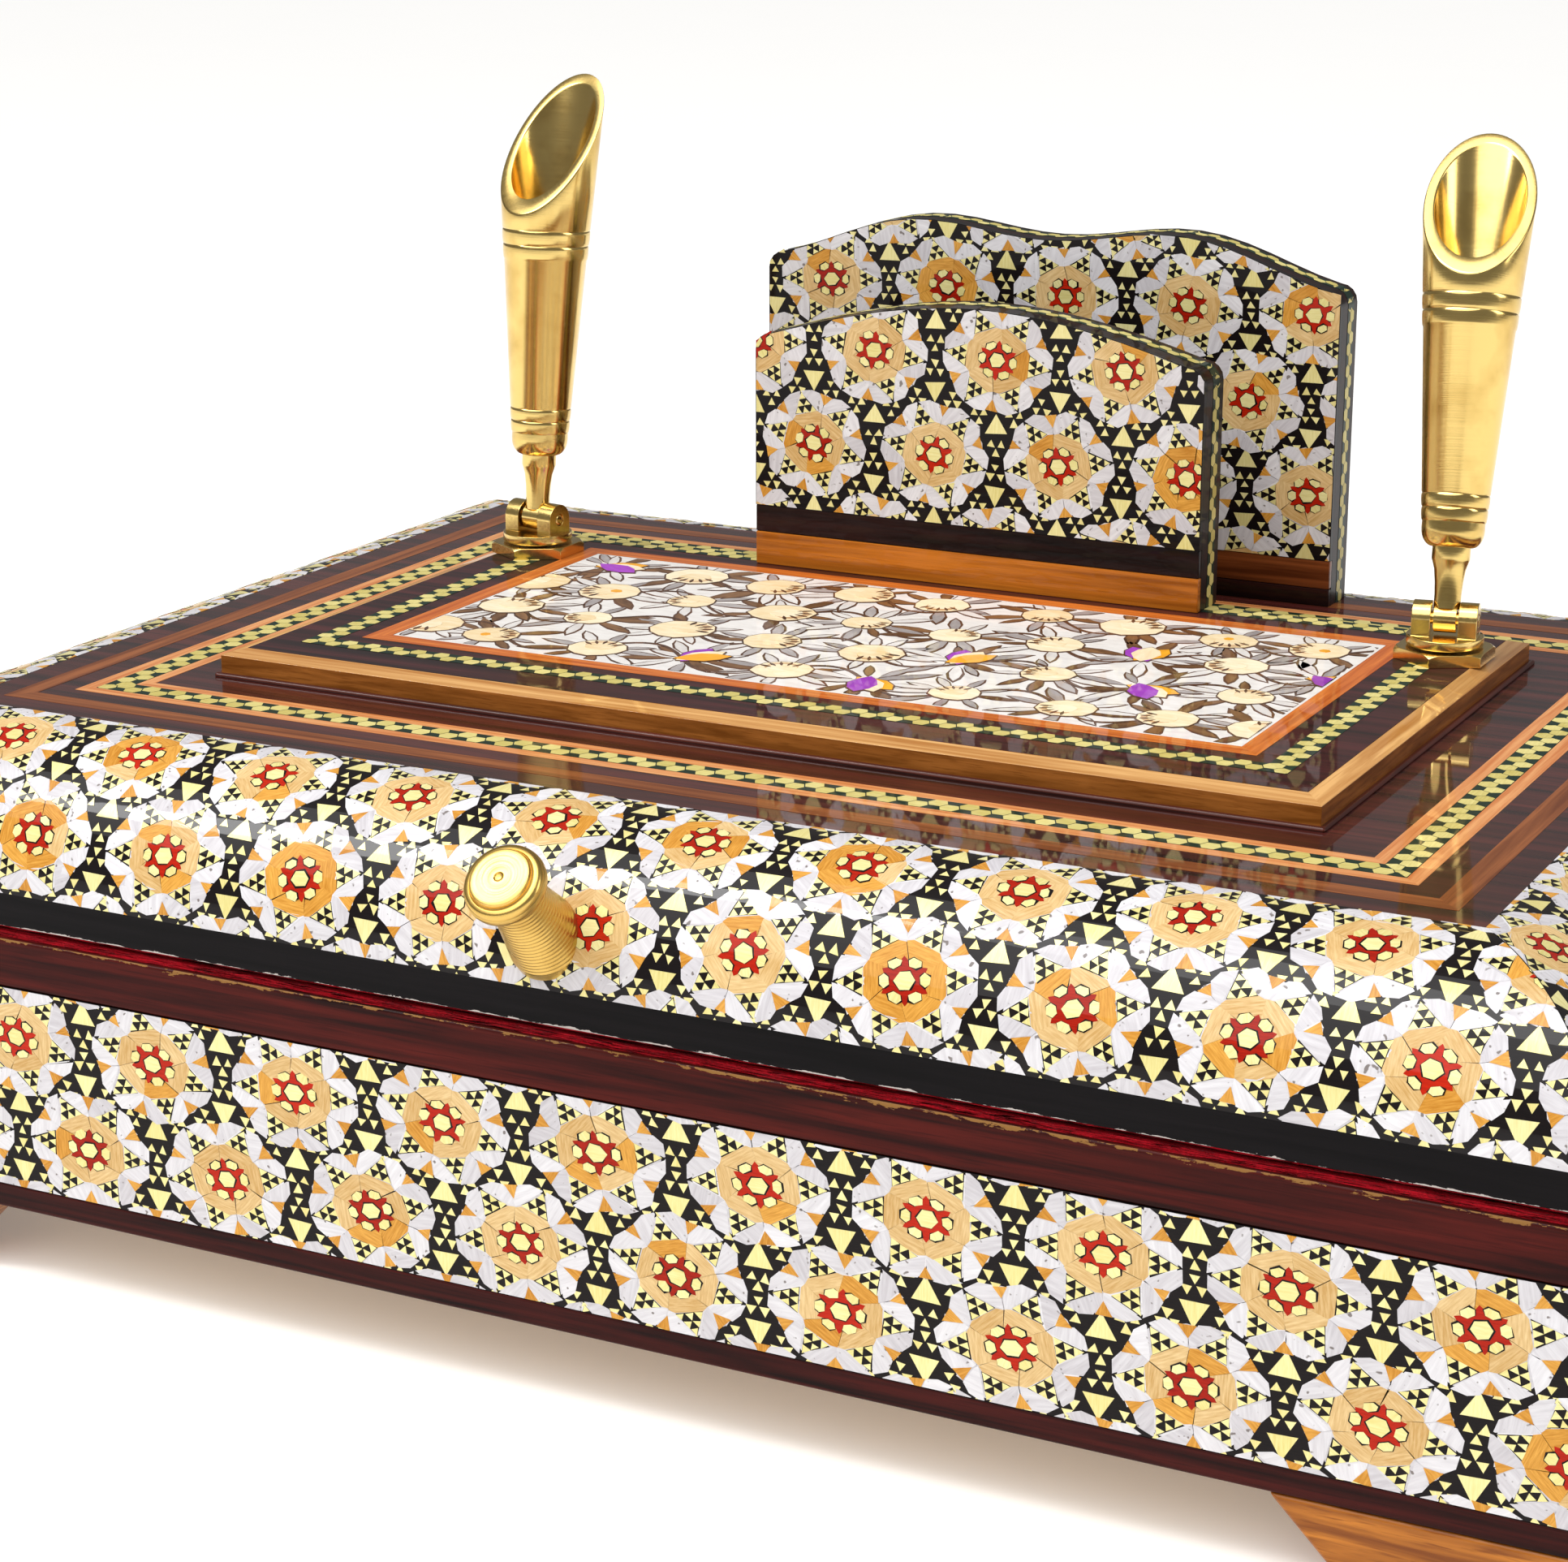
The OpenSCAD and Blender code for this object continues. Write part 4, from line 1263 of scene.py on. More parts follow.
@dataclass(frozen=True)
class Rope:
    """A zigzag rope banding: pale cells that step up and down along a dark strip."""

    pitch: float
    width: float

    def cells(self, length: float) -> Iterator[list[Vector]]:
        """Give the outlines of the cells along a straight strip about the origin."""
        count = max(2, round(2 * length / self.pitch))
        half, tall = length / count, self.width * 0.3
        shape = [(-0.62, 0), (-0.36, -1), (0.36, -1), (0.62, 0), (0.36, 1), (-0.36, 1)]
        for i in range(count):
            middle = Vector(((i + 0.5) * half - length / 2, self.width * (0.185 if i % 2 else -0.185)))
            yield [middle + Vector((x * half, y * tall)) for x, y in shape]

    def around(self, lo: Vector, hi: Vector) -> Iterator[Tile]:
        """Give the rope's tiles round a rectangle, mitred at its corners.

        Args:
            lo: Lowest outer corner in sheet millimetres.
            hi: Highest outer corner.

        Yields:
            The dark ground's four strips and the pale cells.
        """
        size, mid, w = hi - lo, (lo + hi) / 2, self.width
        for turn in range(4):
            length, depth = (size.x, size.y) if turn % 2 == 0 else (size.y, size.x)
            spin = Matrix.Rotation(math.radians(90 * turn), 2)
            shift = Vector((0, (w - depth) / 2))
            half = length / 2
            strip = [(-half, -w / 2), (half, -w / 2), (half - w, w / 2), (w - half, w / 2)]
            yield Tile([mid + spin @ (Vector(p) + shift) for p in strip], 0, 1, 90 * turn)
            for cell in self.cells(length):
                for hand in (-1, 1):
                    cell = clip(cell, Vector((hand * half, -w / 2)), Vector((-hand, -1)))
                if len(cell) > 2:
                    yield Tile([mid + spin @ (p + shift) for p in cell], 1, 2, 90 * turn)

    def let_in(self, name: str, lo: Vector, hi: Vector, top: float) -> None:
        """Let the rope into one of the lid's tops, round a rectangle.

        Args:
            name: The piece's name.
            lo: Lowest outer corner on plan, in millimetres.
            hi: Highest outer corner.
            top: Height of the top.
        """
        sheet = TileSheet(name, ROPE)
        sheet.fill(self.around(lo, hi))
        settle(sheet.lay(FlatFace(Matrix.Translation((0, 0, top)))), "lid", "lacquered_top")


@dataclass
class BoxBody:
    """The lower box: mosaic bands between dark strips, bracket feet and a velvet lining."""

    box: Span = field(default_factory=lambda: Span.of("front_wall", "back_wall", "left_wall", "right_wall"))
    width: float = 232.0
    depth: float = 167.0
    corner_gap: float = 0.15
    felt: float = 0.75
    pattern: Khatam = Khatam(20.35, 12.9, -6.57, 6.9, 0.84)

    def side_frame(self, side: Side, height: float) -> Matrix:
        """Give the frame on a side's outer face: along, up and out.

        Args:
            side: Which side.
            height: Height of the frame's origin in millimetres.

        Returns:
            The frame in millimetres.
        """
        reach = (self.width if side % 2 else self.depth) / 2
        face = Matrix(((1, 0, 0, 0), (0, 0, -1, -reach), (0, 1, 0, height), (0, 0, 0, 1)))
        mid = Vector((self.box.mid.x, self.box.mid.y, 0))
        return Matrix.Translation(mid) @ Matrix.Rotation(math.radians(90 * side), 4, "Z") @ face

    def length(self, side: Side) -> float:
        """Give a side's length in millimetres."""
        return self.depth if side % 2 else self.width

    def build(self) -> None:
        """Model and dress the lower box."""
        for side in Side:
            self.band(side)
        softened("box_lower_strips", LOWER_STRIP, 0.35)
        softened("box_upper_strips", UPPER_STRIP, 0.45)
        for corner in ("front_left", "front_right", "back_left", "back_right"):
            softened(f"foot_{corner}", FOOT_WOOD, 0.6)
        finish_nodes(BARE_WOOD, "front_wall", "right_wall", "back_wall", "left_wall", "floor_board")
        self.felt_rim()

    def band(self, side: Side) -> None:
        """Lay the mosaic band of one side over its ebony ground."""
        node = f"box_{side.word}_khatam"
        span = Span.of(node)
        half, height = self.length(side) / 2 - self.corner_gap, span.size.z
        borders = rectangle(Vector((-half, SEAM)), Vector((half, height - SEAM)))
        face = FlatFace(self.side_frame(side, span.lo.z))
        self.pattern.inlay(node, Vector((-half, 0)), Vector((half, height)), borders, face)

    def felt_rim(self) -> None:
        """Model the felt on the rim as soft strips with a ragged top edge."""
        span = Span.of("rim_felt")
        top = span.lo.z + self.felt
        rim = banding("rim_felt_pile", span.lo.xy, span.hi.xy, 5.0, top, FELT, self.felt)
        ragged(rim, "rim felt", 0.16)
        settle(rim, "box", SLOTS["rim_felt"], "rim_felt")


@dataclass
class LidShell:
    """The lid's rolled mosaic sides, dark strips and flat top with its bandings."""

    body: BoxBody
    flat: Span = field(default_factory=lambda: Span.of("lid_board"))
    radius: float = 17.6
    mitre_gap: float = 0.12
    pattern: Khatam = Khatam(19.22, 13.07, 2.2, 7.83, 0.89)
    rope: Rope = Rope(3.9, 3.5)

    def build(self) -> None:
        """Model and dress the lid's shell and top."""
        for side in Side:
            self.roll(side)
            softened(f"lid_{side.word}_strip", LID_STRIP, 0.35)
            finish_nodes(BARE_WOOD, f"lid_{side.word}_roll")
        finish_nodes(TOP_VENEER, "lid_board")
        self.bandings()
        self.felt_seam()

    def roll(self, side: Side) -> None:
        """Wrap the mosaic round one roll, mitred at its ends."""
        node = f"lid_{side.word}_khatam"
        span = Span.of(node)
        length, radius = self.body.length(side), self.radius
        arc = radius * math.pi / 2

        def mitre(hand: int) -> Border:
            """Give the border at one end, which leans in as the roll rises."""
            def border(mid: Vector) -> tuple[Vector, Vector]:
                """Give the mitre's line beside a tile."""
                angle = min(max(mid.y / radius, 0), math.pi / 2)
                reach = length / 2 - radius * (1 - math.cos(angle)) - self.mitre_gap
                return Vector((hand * reach, mid.y)), Vector((-hand, -math.sin(angle)))
            return border

        borders = [mitre(1), mitre(-1), straight(0, SEAM, 0, 1), straight(0, arc - SEAM, 0, -1)]
        face = RollFace(self.body.side_frame(side, span.lo.z), radius)
        lo, hi = Vector((-length / 2, 0)), Vector((length / 2, arc))
        self.pattern.inlay(node, lo, hi, borders, face, ROLL_MOSAIC)

    def bandings(self) -> None:
        """Let the brown strip, the orange lines and the rope into the flat top."""
        top = self.flat.hi.z
        lo, hi = self.flat.lo.xy, self.flat.hi.xy

        def inset(by: float) -> tuple[Vector, Vector]:
            """Give the flat's corners drawn in by a distance."""
            return lo + Vector((by, by)), hi - Vector((by, by))

        for name, by, width, finish in (
            ("lid_brown_banding", 4.0, 3.0, BROWN_BANDING),
            ("lid_outer_stringing", 10.3, 1.85, ORANGE_LINE),
            ("lid_inner_stringing", 15.75, 1.75, ORANGE_LINE),
        ):
            settle(banding(name, *inset(by), width, top + PROUD, finish), "lid", "lacquered_top")
        self.rope.let_in("lid_rope_banding", *inset(12.2), top)

    def felt_seam(self) -> None:
        """Model the thin felt under the lid's strips, the second red line of the seam."""
        strips = Span.of(*(f"lid_{side.word}_strip" for side in Side))
        inset = Vector((0.7, 0.7))
        lo, hi = strips.lo.xy + inset, strips.hi.xy - inset
        seam = banding("lid_felt_line", lo, hi, 3.0, strips.lo.z + PROUD, FELT, 0.42)
        ragged(seam, "lid felt", 0.1)
        settle(seam, "lid", "velvet")


@dataclass
class PlinthTop:
    """The raised plinth: edging, rope banding, orange border and painted panel."""

    board: Span = field(default_factory=lambda: Span.of("plinth_edging"))
    panel: Span = field(default_factory=lambda: Span.of("painted_panel"))
    rope: Rope = Rope(3.5, 3.3)
    border: float = 2.9
    gap: float = 2.4
    back: float = 2.6

    def build(self) -> None:
        """Model and dress the plinth."""
        finish_nodes(PLINTH_VENEER, "plinth_board")
        edging = softened("plinth_edging", EDGING, 0.45)
        # The second finish paints a highlight on the faces that look upwards.
        edging.data.materials.append(EDGING_PAINTED_HIGHLIGHT.material())
        for polygon in edging.data.polygons:
            polygon.material_index = int(polygon.normal.z > 0.35)
        self.lacquer_bead()
        top = self.board.hi.z
        lo, hi = self.panel.lo.xy, self.panel.hi.xy
        edge = Vector((self.border, self.border))
        width = self.border - SEAM
        border = banding("panel_orange_border", lo - edge, hi + edge, width, top + PROUD, PANEL_BORDER)
        settle(border, "lid", "lacquered_top")
        reach = Vector((self.border + self.gap + self.rope.width,) * 2)
        far = Vector((hi.x + reach.x, self.board.hi.y - self.back))
        self.rope.let_in("plinth_rope_banding", lo - reach, far, top)
        self.painting()

    def lacquer_bead(self) -> None:
        """Model the bead of lacquer that gathered at the plinth's foot."""
        reach = Vector((0.7, 0.7))
        lo, hi = self.board.lo.xy - reach, self.board.hi.xy + reach
        bead = banding("plinth_lacquer_bead", lo, hi, 0.9, self.board.lo.z + 0.55, BEAD, 0.7)
        round_over(bead, 0.5)
        settle(bead, "lid", "lacquered_top")

    def painting(self) -> None:
        """Paint blossoms, leaves and stems on the panel's pale ground."""
        lo, hi, mid = self.panel.lo.xy, self.panel.hi.xy, self.panel.mid.xy
        bare = Vector((0.4, 0.4))
        sheet = TileSheet("painted_panel_strokes", PAINTS, rectangle(lo + bare, hi - bare))
        garden = BlossomField(self.panel.size.x, self.panel.size.y)
        for number, tile in enumerate(garden.strokes()):
            tile.outline = [p + mid for p in tile.outline]
            tile.level += number % 10 * 0.09
            sheet.add(tile)
        face = FlatFace(Matrix.Translation((0, 0, self.panel.hi.z)))
        sheet.inlay("painted_panel", "painted_panel_sheet", face)


@dataclass
class BlossomField:
    """A generic all-over meadow: staggered blossoms, tulips, waving stems and feathered leaves."""

    width: float
    height: float
    columns: int = 9
    rows: int = 4
    wave: float = 4.6
    steps: int = 120
    rng: random.Random = field(default_factory=lambda: random.Random("blossom field"))

    def strokes(self) -> Iterator[Tile]:
        """Give all the painting's strokes about the panel's middle."""
        for row in range(self.rows):
            yield from self.line(self.stem(row), 0.55, Pigment.STEM)
        for row in range(self.rows):
            for column in range(self.columns + 1):
                spot = self.spot(column, row)
                for k in range(9):
                    way = polar(1, 40 * k + self.rng.uniform(-14, 14))
                    yield from self.feather(spot + way * 2.2, way, self.rng.uniform(5.0, 8.2))
        for row in range(self.rows):
            for column in range(self.columns + 1):
                spot = self.spot(column, row)
                number = (column * 3 + row * 5) % 11
                if number in (4, 9):
                    yield from self.tulip(spot, 4.6, (-55 if number == 4 else 60) + 20 * row, number)
                else:
                    yield from self.blossom(spot, self.rng.uniform(3.2, 4.5))

    def spot(self, column: int, row: int) -> Vector:
        """Give the place of a blossom in the staggered rows."""
        jitter = random.Random(column * 31 + row)
        across = (column + (0.5 if row % 2 else 0)) / self.columns - 0.5
        up = (row + 0.5) / self.rows - 0.5
        return Vector((
            across * self.width + jitter.uniform(-1.6, 1.6), up * self.height + jitter.uniform(-1.2, 1.2),
        ))

    def stem(self, row: int) -> list[Vector]:
        """Give points along the stem that waves between a row's blossoms."""
        middle = ((row + 0.5) / self.rows - 0.5) * self.height
        turn = math.tau * self.columns / 2 / self.width
        points = []
        for i in range(self.steps + 1):
            x = i * self.width / self.steps
            points.append(Vector((x - self.width / 2, middle + self.wave * math.sin(turn * x + row * 1.3))))
        return points

    def line(self, points: Sequence[Vector], width: float, paint: Pigment) -> Iterator[Tile]:
        """Give the short flat strokes of a drawn line."""
        for a, b in zip(points, points[1:]):
            side = Vector((a.y - b.y, b.x - a.x)).normalized() * width / 2
            yield Tile([a - side, b - side, b + side, a + side], paint, 3, self.rng.uniform(0, 360))

    def petal(
        self, base: Vector, way: Vector, length: float, width: float, paint: Pigment, level: int
    ) -> Tile:
        """Give one petal or leaf.

        Args:
            base: Where it starts.
            way: Unit direction of its tip.
            length: Its length in millimetres.
            width: Half its width.
            paint: Its colour.
            level: Its layer of paint.

        Returns:
            The stroke's tile.
        """
        side = Vector((-way.y, way.x)) * width
        shares = ((0.2, 0.6), (0.5, 1.0), (0.78, 0.72))
        right = [base + way * length * u - side * v for u, v in shares]
        left = [base + way * length * u + side * v for u, v in reversed(shares)]
        tip = base + way * length
        return Tile([base, *right, tip, *left], paint, level, math.degrees(math.atan2(way.y, way.x)))

    def feather(self, base: Vector, way: Vector, length: float) -> Iterator[Tile]:
        """Give one pale leaf with a dark outline and a vein."""
        dark = self.rng.random() < 0.35
        yield self.petal(base, way, length * 1.06, length * 0.15, Pigment.STEM, 1)
        yield self.petal(
            base, way, length * 0.97, length * 0.105,
            Pigment.LEAF if dark else self.rng.choice((Pigment.GROUND, Pigment.SHADE)), 2,
        )

    def blossom(self, heart: Vector, radius: float) -> Iterator[Tile]:
        """Give one round cream blossom with brown brush marks down one side."""
        turn = self.rng.uniform(0, 360)
        ring = [polar(self.rng.uniform(0.95, 1.05) * radius, 30 * k + turn) for k in range(12)]
        yield Tile([heart + p * 1.06 for p in ring], Pigment.STEM, 4)
        yield Tile([heart + p for p in ring], Pigment.CREAM, 5)
        shade = polar(radius * 0.34, turn)
        yield Tile([heart + shade + p * 0.55 for p in ring], Pigment.BLUSH, 6)
        yield Tile([heart + shade * 0.5 + p * 0.5 for p in ring], Pigment.CREAM, 7)
        for k in range(5):
            way = polar(1, turn + 24 * (k - 2))
            yield self.petal(heart + way * radius * 0.45, way, radius * 0.48, radius * 0.06, Pigment.STEM, 8)
        if self.rng.random() < 0.3:
            eye = heart - shade * 0.6
            yield Tile([eye + polar(radius * 0.2, 60 * k) for k in range(6)], Pigment.AMBER, 8)

    def tulip(self, heart: Vector, size: float, lean: float, number: int) -> Iterator[Tile]:
        """Give one cupped flower with a bright petal on each side."""
        colours = (Pigment.PURPLE, Pigment.AMBER) if number == 4 else (Pigment.AMBER, Pigment.PURPLE)
        for offset, paint in ((-26, colours[0]), (26, colours[1]), (0, Pigment.CREAM)):
            way = polar(1, lean + offset)
            yield self.petal(heart - way * size * 0.47, way, size * 1.7, size * 0.47, Pigment.STEM, 5)
            yield self.petal(heart - way * size * 0.45, way, size * 1.63, size * 0.425, paint, 6)
        for offset in (-75, 75):
            yield from self.feather(heart, polar(1, lean + 180 + offset), size * 1.5)


@dataclass
class RackPanel:
    """One upright of the letter rack: mosaic face, roped edge and two base strips."""

    word: str
    pattern: Khatam
    base: tuple[tuple[float, Finish], tuple[float, Finish]]
    rope: Rope = Rope(3.0, 2.4)
    rope_back: float = 3.2
    edge_gap: float = 0.1

    def outline(self, node: str) -> list[Vector]:
        """Give a panel's outline from its lower left, up and over to its lower right."""
        copy = node_copy(node, f"{node}_outline")
        face = max(copy.data.polygons, key=lambda p: -p.normal.y * p.area)
        points = [copy.data.vertices[i].co / MM for i in face.vertices]
        bpy.data.objects.remove(copy)
        loop = [Vector((p.x, p.z)) for p in points]
        if area_of(loop) > 0:
            loop.reverse()
        low = min(p.y for p in loop)
        start = min(range(len(loop)), key=lambda i: (round(loop[i].y - low, 2), loop[i].x))
        return loop[start:] + loop[:start]

    def build(self) -> None:
        """Model and dress the panel."""
        core, face = f"rack_{self.word}_panel", f"rack_{self.word}_khatam"
        softened(core, DARK_WOOD_AND_SHADE, 0.3)
        span = Span.of(face)
        height = span.lo.z - sum(tall for tall, _ in self.base)
        self.mosaic(face, span, height)
        front, back = span.lo.y, span.hi.y
        for i, (tall, finish) in enumerate(self.base):
            strip = block(
                f"rack_{self.word}_base_strip_{i + 1}", (span.lo.x, front, height),
                (span.hi.x, back + 0.1, height + tall), finish, 0.2,
            )
            settle(strip, "lid", "rack_wood")
            height += tall
        self.edge(core, front)

    def mosaic(self, node: str, span: Span, foot: float) -> None:
        """Lay the mosaic on the panel's face, cut to its crest."""
        crest = self.outline(node)
        mid = span.mid.x

        def under(spot: Vector) -> tuple[Vector, Vector]:
            """Give the crest's line above a tile."""
            x = spot.x + mid
            for a, b in zip(crest, crest[1:]):
                if a.x <= x <= b.x and b.x - a.x > 1e-6:
                    way = (b - a).normalized()
                    return Vector((a.x - mid, a.y - foot - self.edge_gap)), Vector((way.y, -way.x))
            return Vector((0, span.hi.z - foot)), Vector((0, -1))

        half = span.size.x / 2 - self.edge_gap
        base = straight(0, span.lo.z - foot + SEAM, 0, 1)
        borders = [straight(half, 0, -1, 0), straight(-half, 0, 1, 0), base, under]
        lo, hi = Vector((-half, span.lo.z - foot)), Vector((half, span.hi.z - foot))
        place = Matrix(((1, 0, 0, mid), (0, 0, -1, span.lo.y), (0, 1, 0, foot), (0, 0, 0, 1)))
        self.pattern.inlay(node, lo, hi, borders, FlatFace(place))

    def edge(self, node: str, front: float) -> None:
        """Run the rope along the panel's edge, up one side, over the crest and down the other."""
        outline = self.outline(node)
        face = EdgeFace(outline, front)
        total = face.lengths[-1]
        sheet = TileSheet(f"rack_{self.word}_edge_rope", ROPE)
        middle = self.rope_back + self.rope.width / 2
        for a, b in zip(face.lengths, face.lengths[1:]):
            w = self.rope.width / 2
            sheet.add(Tile([Vector((x, middle + y)) for x, y in ((a, -w), (b, -w), (b, w), (a, w))], 0, 1))
        for cell in self.rope.cells(total):
            sheet.add(Tile([p + Vector((total / 2, middle)) for p in cell], 1, 2))
        settle(sheet.lay(face), "lid", "rack_wood")


@dataclass
class TurnedKnob:
    """The lid's pull: a waisted bell with lathe rings under a stepped flat head."""

    span: Span = field(default_factory=lambda: Span.of("knob"))
    base: float = 4.7
    neck: float = 3.2
    head: float = 4.8
    length: float = 15.5
    lean: float = 45.0
    sink: float = 2.6
    seat: tuple[float, float, float] = (-3.5, -78.882, 56.607)

    def profile(self) -> list[tuple[float, float]]:
        """Give the knob's radius and height from its hidden foot to its centre mark."""
        rim, neck_at, head_at, step_at = (self.length * share for share in (0.08, 0.77, 0.81, 0.955))
        top, head, face = self.length, self.head, self.head * 0.75
        points = [(0.0, 0.0), (self.base, 0.0), (self.base, rim)]
        rings = 20
        for i in range(1, rings * 4):
            t = i / (rings * 4)
            radius = self.neck + (self.base - self.neck) * (1 - math.sin(math.pi / 2 * t)) ** 0.8
            points.append((radius + 0.03 * math.sin(math.tau * rings * t), rim + (neck_at - rim) * t))
        points += [
            (self.neck, neck_at), (head - 0.9, head_at - 0.1), (head - 0.35, head_at + 0.1),
            (head - 0.08, head_at + 0.4), (head, head_at + 0.8), (head - 0.03, step_at - 1.0),
            (head - 0.14, step_at - 0.9), (head - 0.12, step_at - 0.6), (head - 0.3, step_at - 0.25),
            (head - 0.6, step_at - 0.06), (face + 0.25, step_at), (face + 0.12, step_at - 0.08),
            (face, step_at), (face, top - 0.3), (face - 0.1, top - 0.08), (face - 0.3, top),
        ]
        for groove in (2.75, 2.1, 1.35):
            points += [(groove + 0.09, top), (groove, top - 0.02), (groove - 0.09, top)]
        points += [(0.62, top), (0.5, top - 0.2), (0.25, top - 0.32), (0.0, top - 0.34)]
        return points

    def build(self) -> None:
        """Turn the knob and set it on the roll's slope."""
        knob = lathe("knob_turned", self.profile(), 72)
        map_turned(knob)
        way = Vector((0, -math.cos(math.radians(self.lean)), math.sin(math.radians(self.lean))))
        seat = Vector(self.seat) - way * self.sink
        turn = Vector((0, 0, 1)).rotation_difference(way).to_matrix().to_4x4()
        knob.data.transform(Matrix.Translation(seat * MM) @ turn)
        solo(knob)
        bpy.ops.object.shade_smooth_by_angle(angle=math.radians(32))
        dress(knob, LATHED)
        settle(knob, "lid", SLOTS["knob"], "knob")
        finish_nodes(BRASS, "knob_stud")


@dataclass
class PenHolder:
    """One swivelling pen holder: flange, clevis, cross pin and slant-cut funnel."""

    word: str
    stem: float = 1.7
    collar: float = 2.42
    foot: float = 4.0
    mouth: float = 7.8
    wall: float = 0.7
    bore: float = 3.3
    stem_at: float = 9.0
    shoulder: float = 2.3
    lip: float = 43.0
    tip: float = 62.4
    bore_at: tuple[float, float] = (13.6, 33.6)
    mount_at: float = 23.6

    def build(self) -> None:
        """Model and dress the holder."""
        for part, width in (("flange", 0.45), ("turret", 0.5), ("cross_pin", 0.3), ("bolt", 0.2)):
            softened(f"{self.word}_{part}", BRASS, width)
        self.funnel()

    def pivot_frame(self) -> Matrix:
        """Give the funnel's frame at its pivot, in millimetres, with Z up its axis."""
        mount = next(m for m in frame["record"]["mounts"] if m["name"] == f"{self.word}_pen_socket")
        way = Vector(mount["axis"]).normalized()
        joint = next(j for j in frame["record"]["behaviour"]["joints"] if j["name"] == f"{self.word}_tilt")
        across = -Vector(joint["axis"]).normalized()
        back = way.cross(across)
        turn = Matrix((across, back, way)).transposed().to_4x4()
        return Matrix.Translation(Vector(mount["pos_m"]) / MM - way * self.mount_at) @ turn

    def outer(self, height: float) -> float:
        """Give the funnel's outer radius at a height above its pivot."""
        start = self.stem_at + self.shoulder
        return self.foot + (self.mouth - self.foot) * (height - start) / (self.tip - start)

    def profile(self) -> list[tuple[float, float]]:
        """Give the funnel's section from its stem, up the outside and down the bore."""
        points = [
            (0.0, 1.2), (self.stem, 1.2), (self.stem, 3.0), (self.stem + 0.1, 4.6), (self.stem + 0.3, 6.2),
            (self.collar - 0.12, 7.2), (self.collar, 7.5), (self.collar, self.stem_at),
        ]
        for i in range(1, 9):
            angle = math.radians(90 * i / 8)
            points.append((self.collar + (self.foot - self.collar) * math.sin(angle),
                           self.stem_at + self.shoulder * (1 - math.cos(angle))))
        start = self.stem_at + self.shoulder
        rings = ((start + 0.9, 1.75), (start + 2.65, 1.75), (self.lip - 6.4, 2.1), (self.lip - 4.3, 2.1))
        for low, tall in rings:
            for share in (0.0, 0.08, 0.22, 0.4, 0.6, 0.78, 0.92):
                height = low + tall * share
                swell = 0.06 * math.sin(math.pi * share) - (0.0 if share else 0.08)
                points.append((self.outer(height) + swell, height))
        for at in (start + 4.4, self.lip - 2.2):
            points += [(self.outer(at) - 0.08, at), (self.outer(at + 0.2), at + 0.2)]
        points.sort(key=lambda point: point[1])
        low, high = self.bore_at
        past = self.tip + 3.0
        points += [(self.outer(past), past), (self.outer(past) - self.wall, past)]
        points += [(self.bore, high), (self.bore, low), (0.0, low)]
        return points

    def funnel(self) -> None:
        """Turn the funnel, cut its mouth on the slant and round the rim."""
        piece = lathe(f"{self.word}_funnel_turned", self.profile(), 72)
        low = self.outer(self.lip)
        run, rise = low + self.mouth, self.tip - self.lip
        with editing(piece):
            bpy.ops.mesh.bisect(
                plane_co=(0, -low * MM, self.lip * MM), plane_no=Vector((0, -rise, run)).normalized(),
                clear_outer=True,
            )
            bpy.ops.mesh.select_all(action="DESELECT")
            bpy.ops.mesh.select_mode(type="EDGE")
            bpy.ops.mesh.select_non_manifold(extend=False)
            bpy.ops.mesh.bridge_edge_loops()
            bpy.ops.mesh.region_to_loop()
            bpy.ops.mesh.bevel(offset=0.2 * MM, segments=3, affect="EDGES")
            bpy.ops.mesh.select_all(action="SELECT")
            bpy.ops.mesh.normals_make_consistent(inside=False)
        self.tongue(piece)
        map_turned(piece)
        solo(piece)
        bpy.ops.object.shade_smooth_by_angle(angle=math.radians(35))
        dress(piece, TURNED)
        place = Matrix.Scale(MM, 4) @ self.pivot_frame() @ Matrix.Scale(1 / MM, 4)
        piece.data.transform(place)
        settle(piece, f"{self.word}_funnel", SLOTS[f"{self.word}_funnel"], f"{self.word}_funnel")

    def tongue(self, piece: Piece) -> None:
        """Join the flat round tongue that turns on the cross pin."""
        disc = primitive(
            f"{self.word}_tongue", bpy.ops.mesh.primitive_cylinder_add,
            vertices=40, radius=1.8 * MM, depth=2.8 * MM, rotation=(0, math.radians(90), 0),
        )
        join([piece, disc])


@dataclass
class ButtHinges:
    """Two brass butt hinges on the back."""

    def build(self) -> None:
        """Round the leaves, pins and screws over and dress them."""
        for hand in ("left", "right"):
            for part in ("box_leaf", "lid_leaf", "pin"):
                softened(f"{hand}_hinge_{part}", HINGE_BRASS, 0.12, segments=2)
        for node in ("hinge_box_screws", "hinge_lid_screws"):
            softened(node, HINGE_BRASS, 0.12, segments=2)


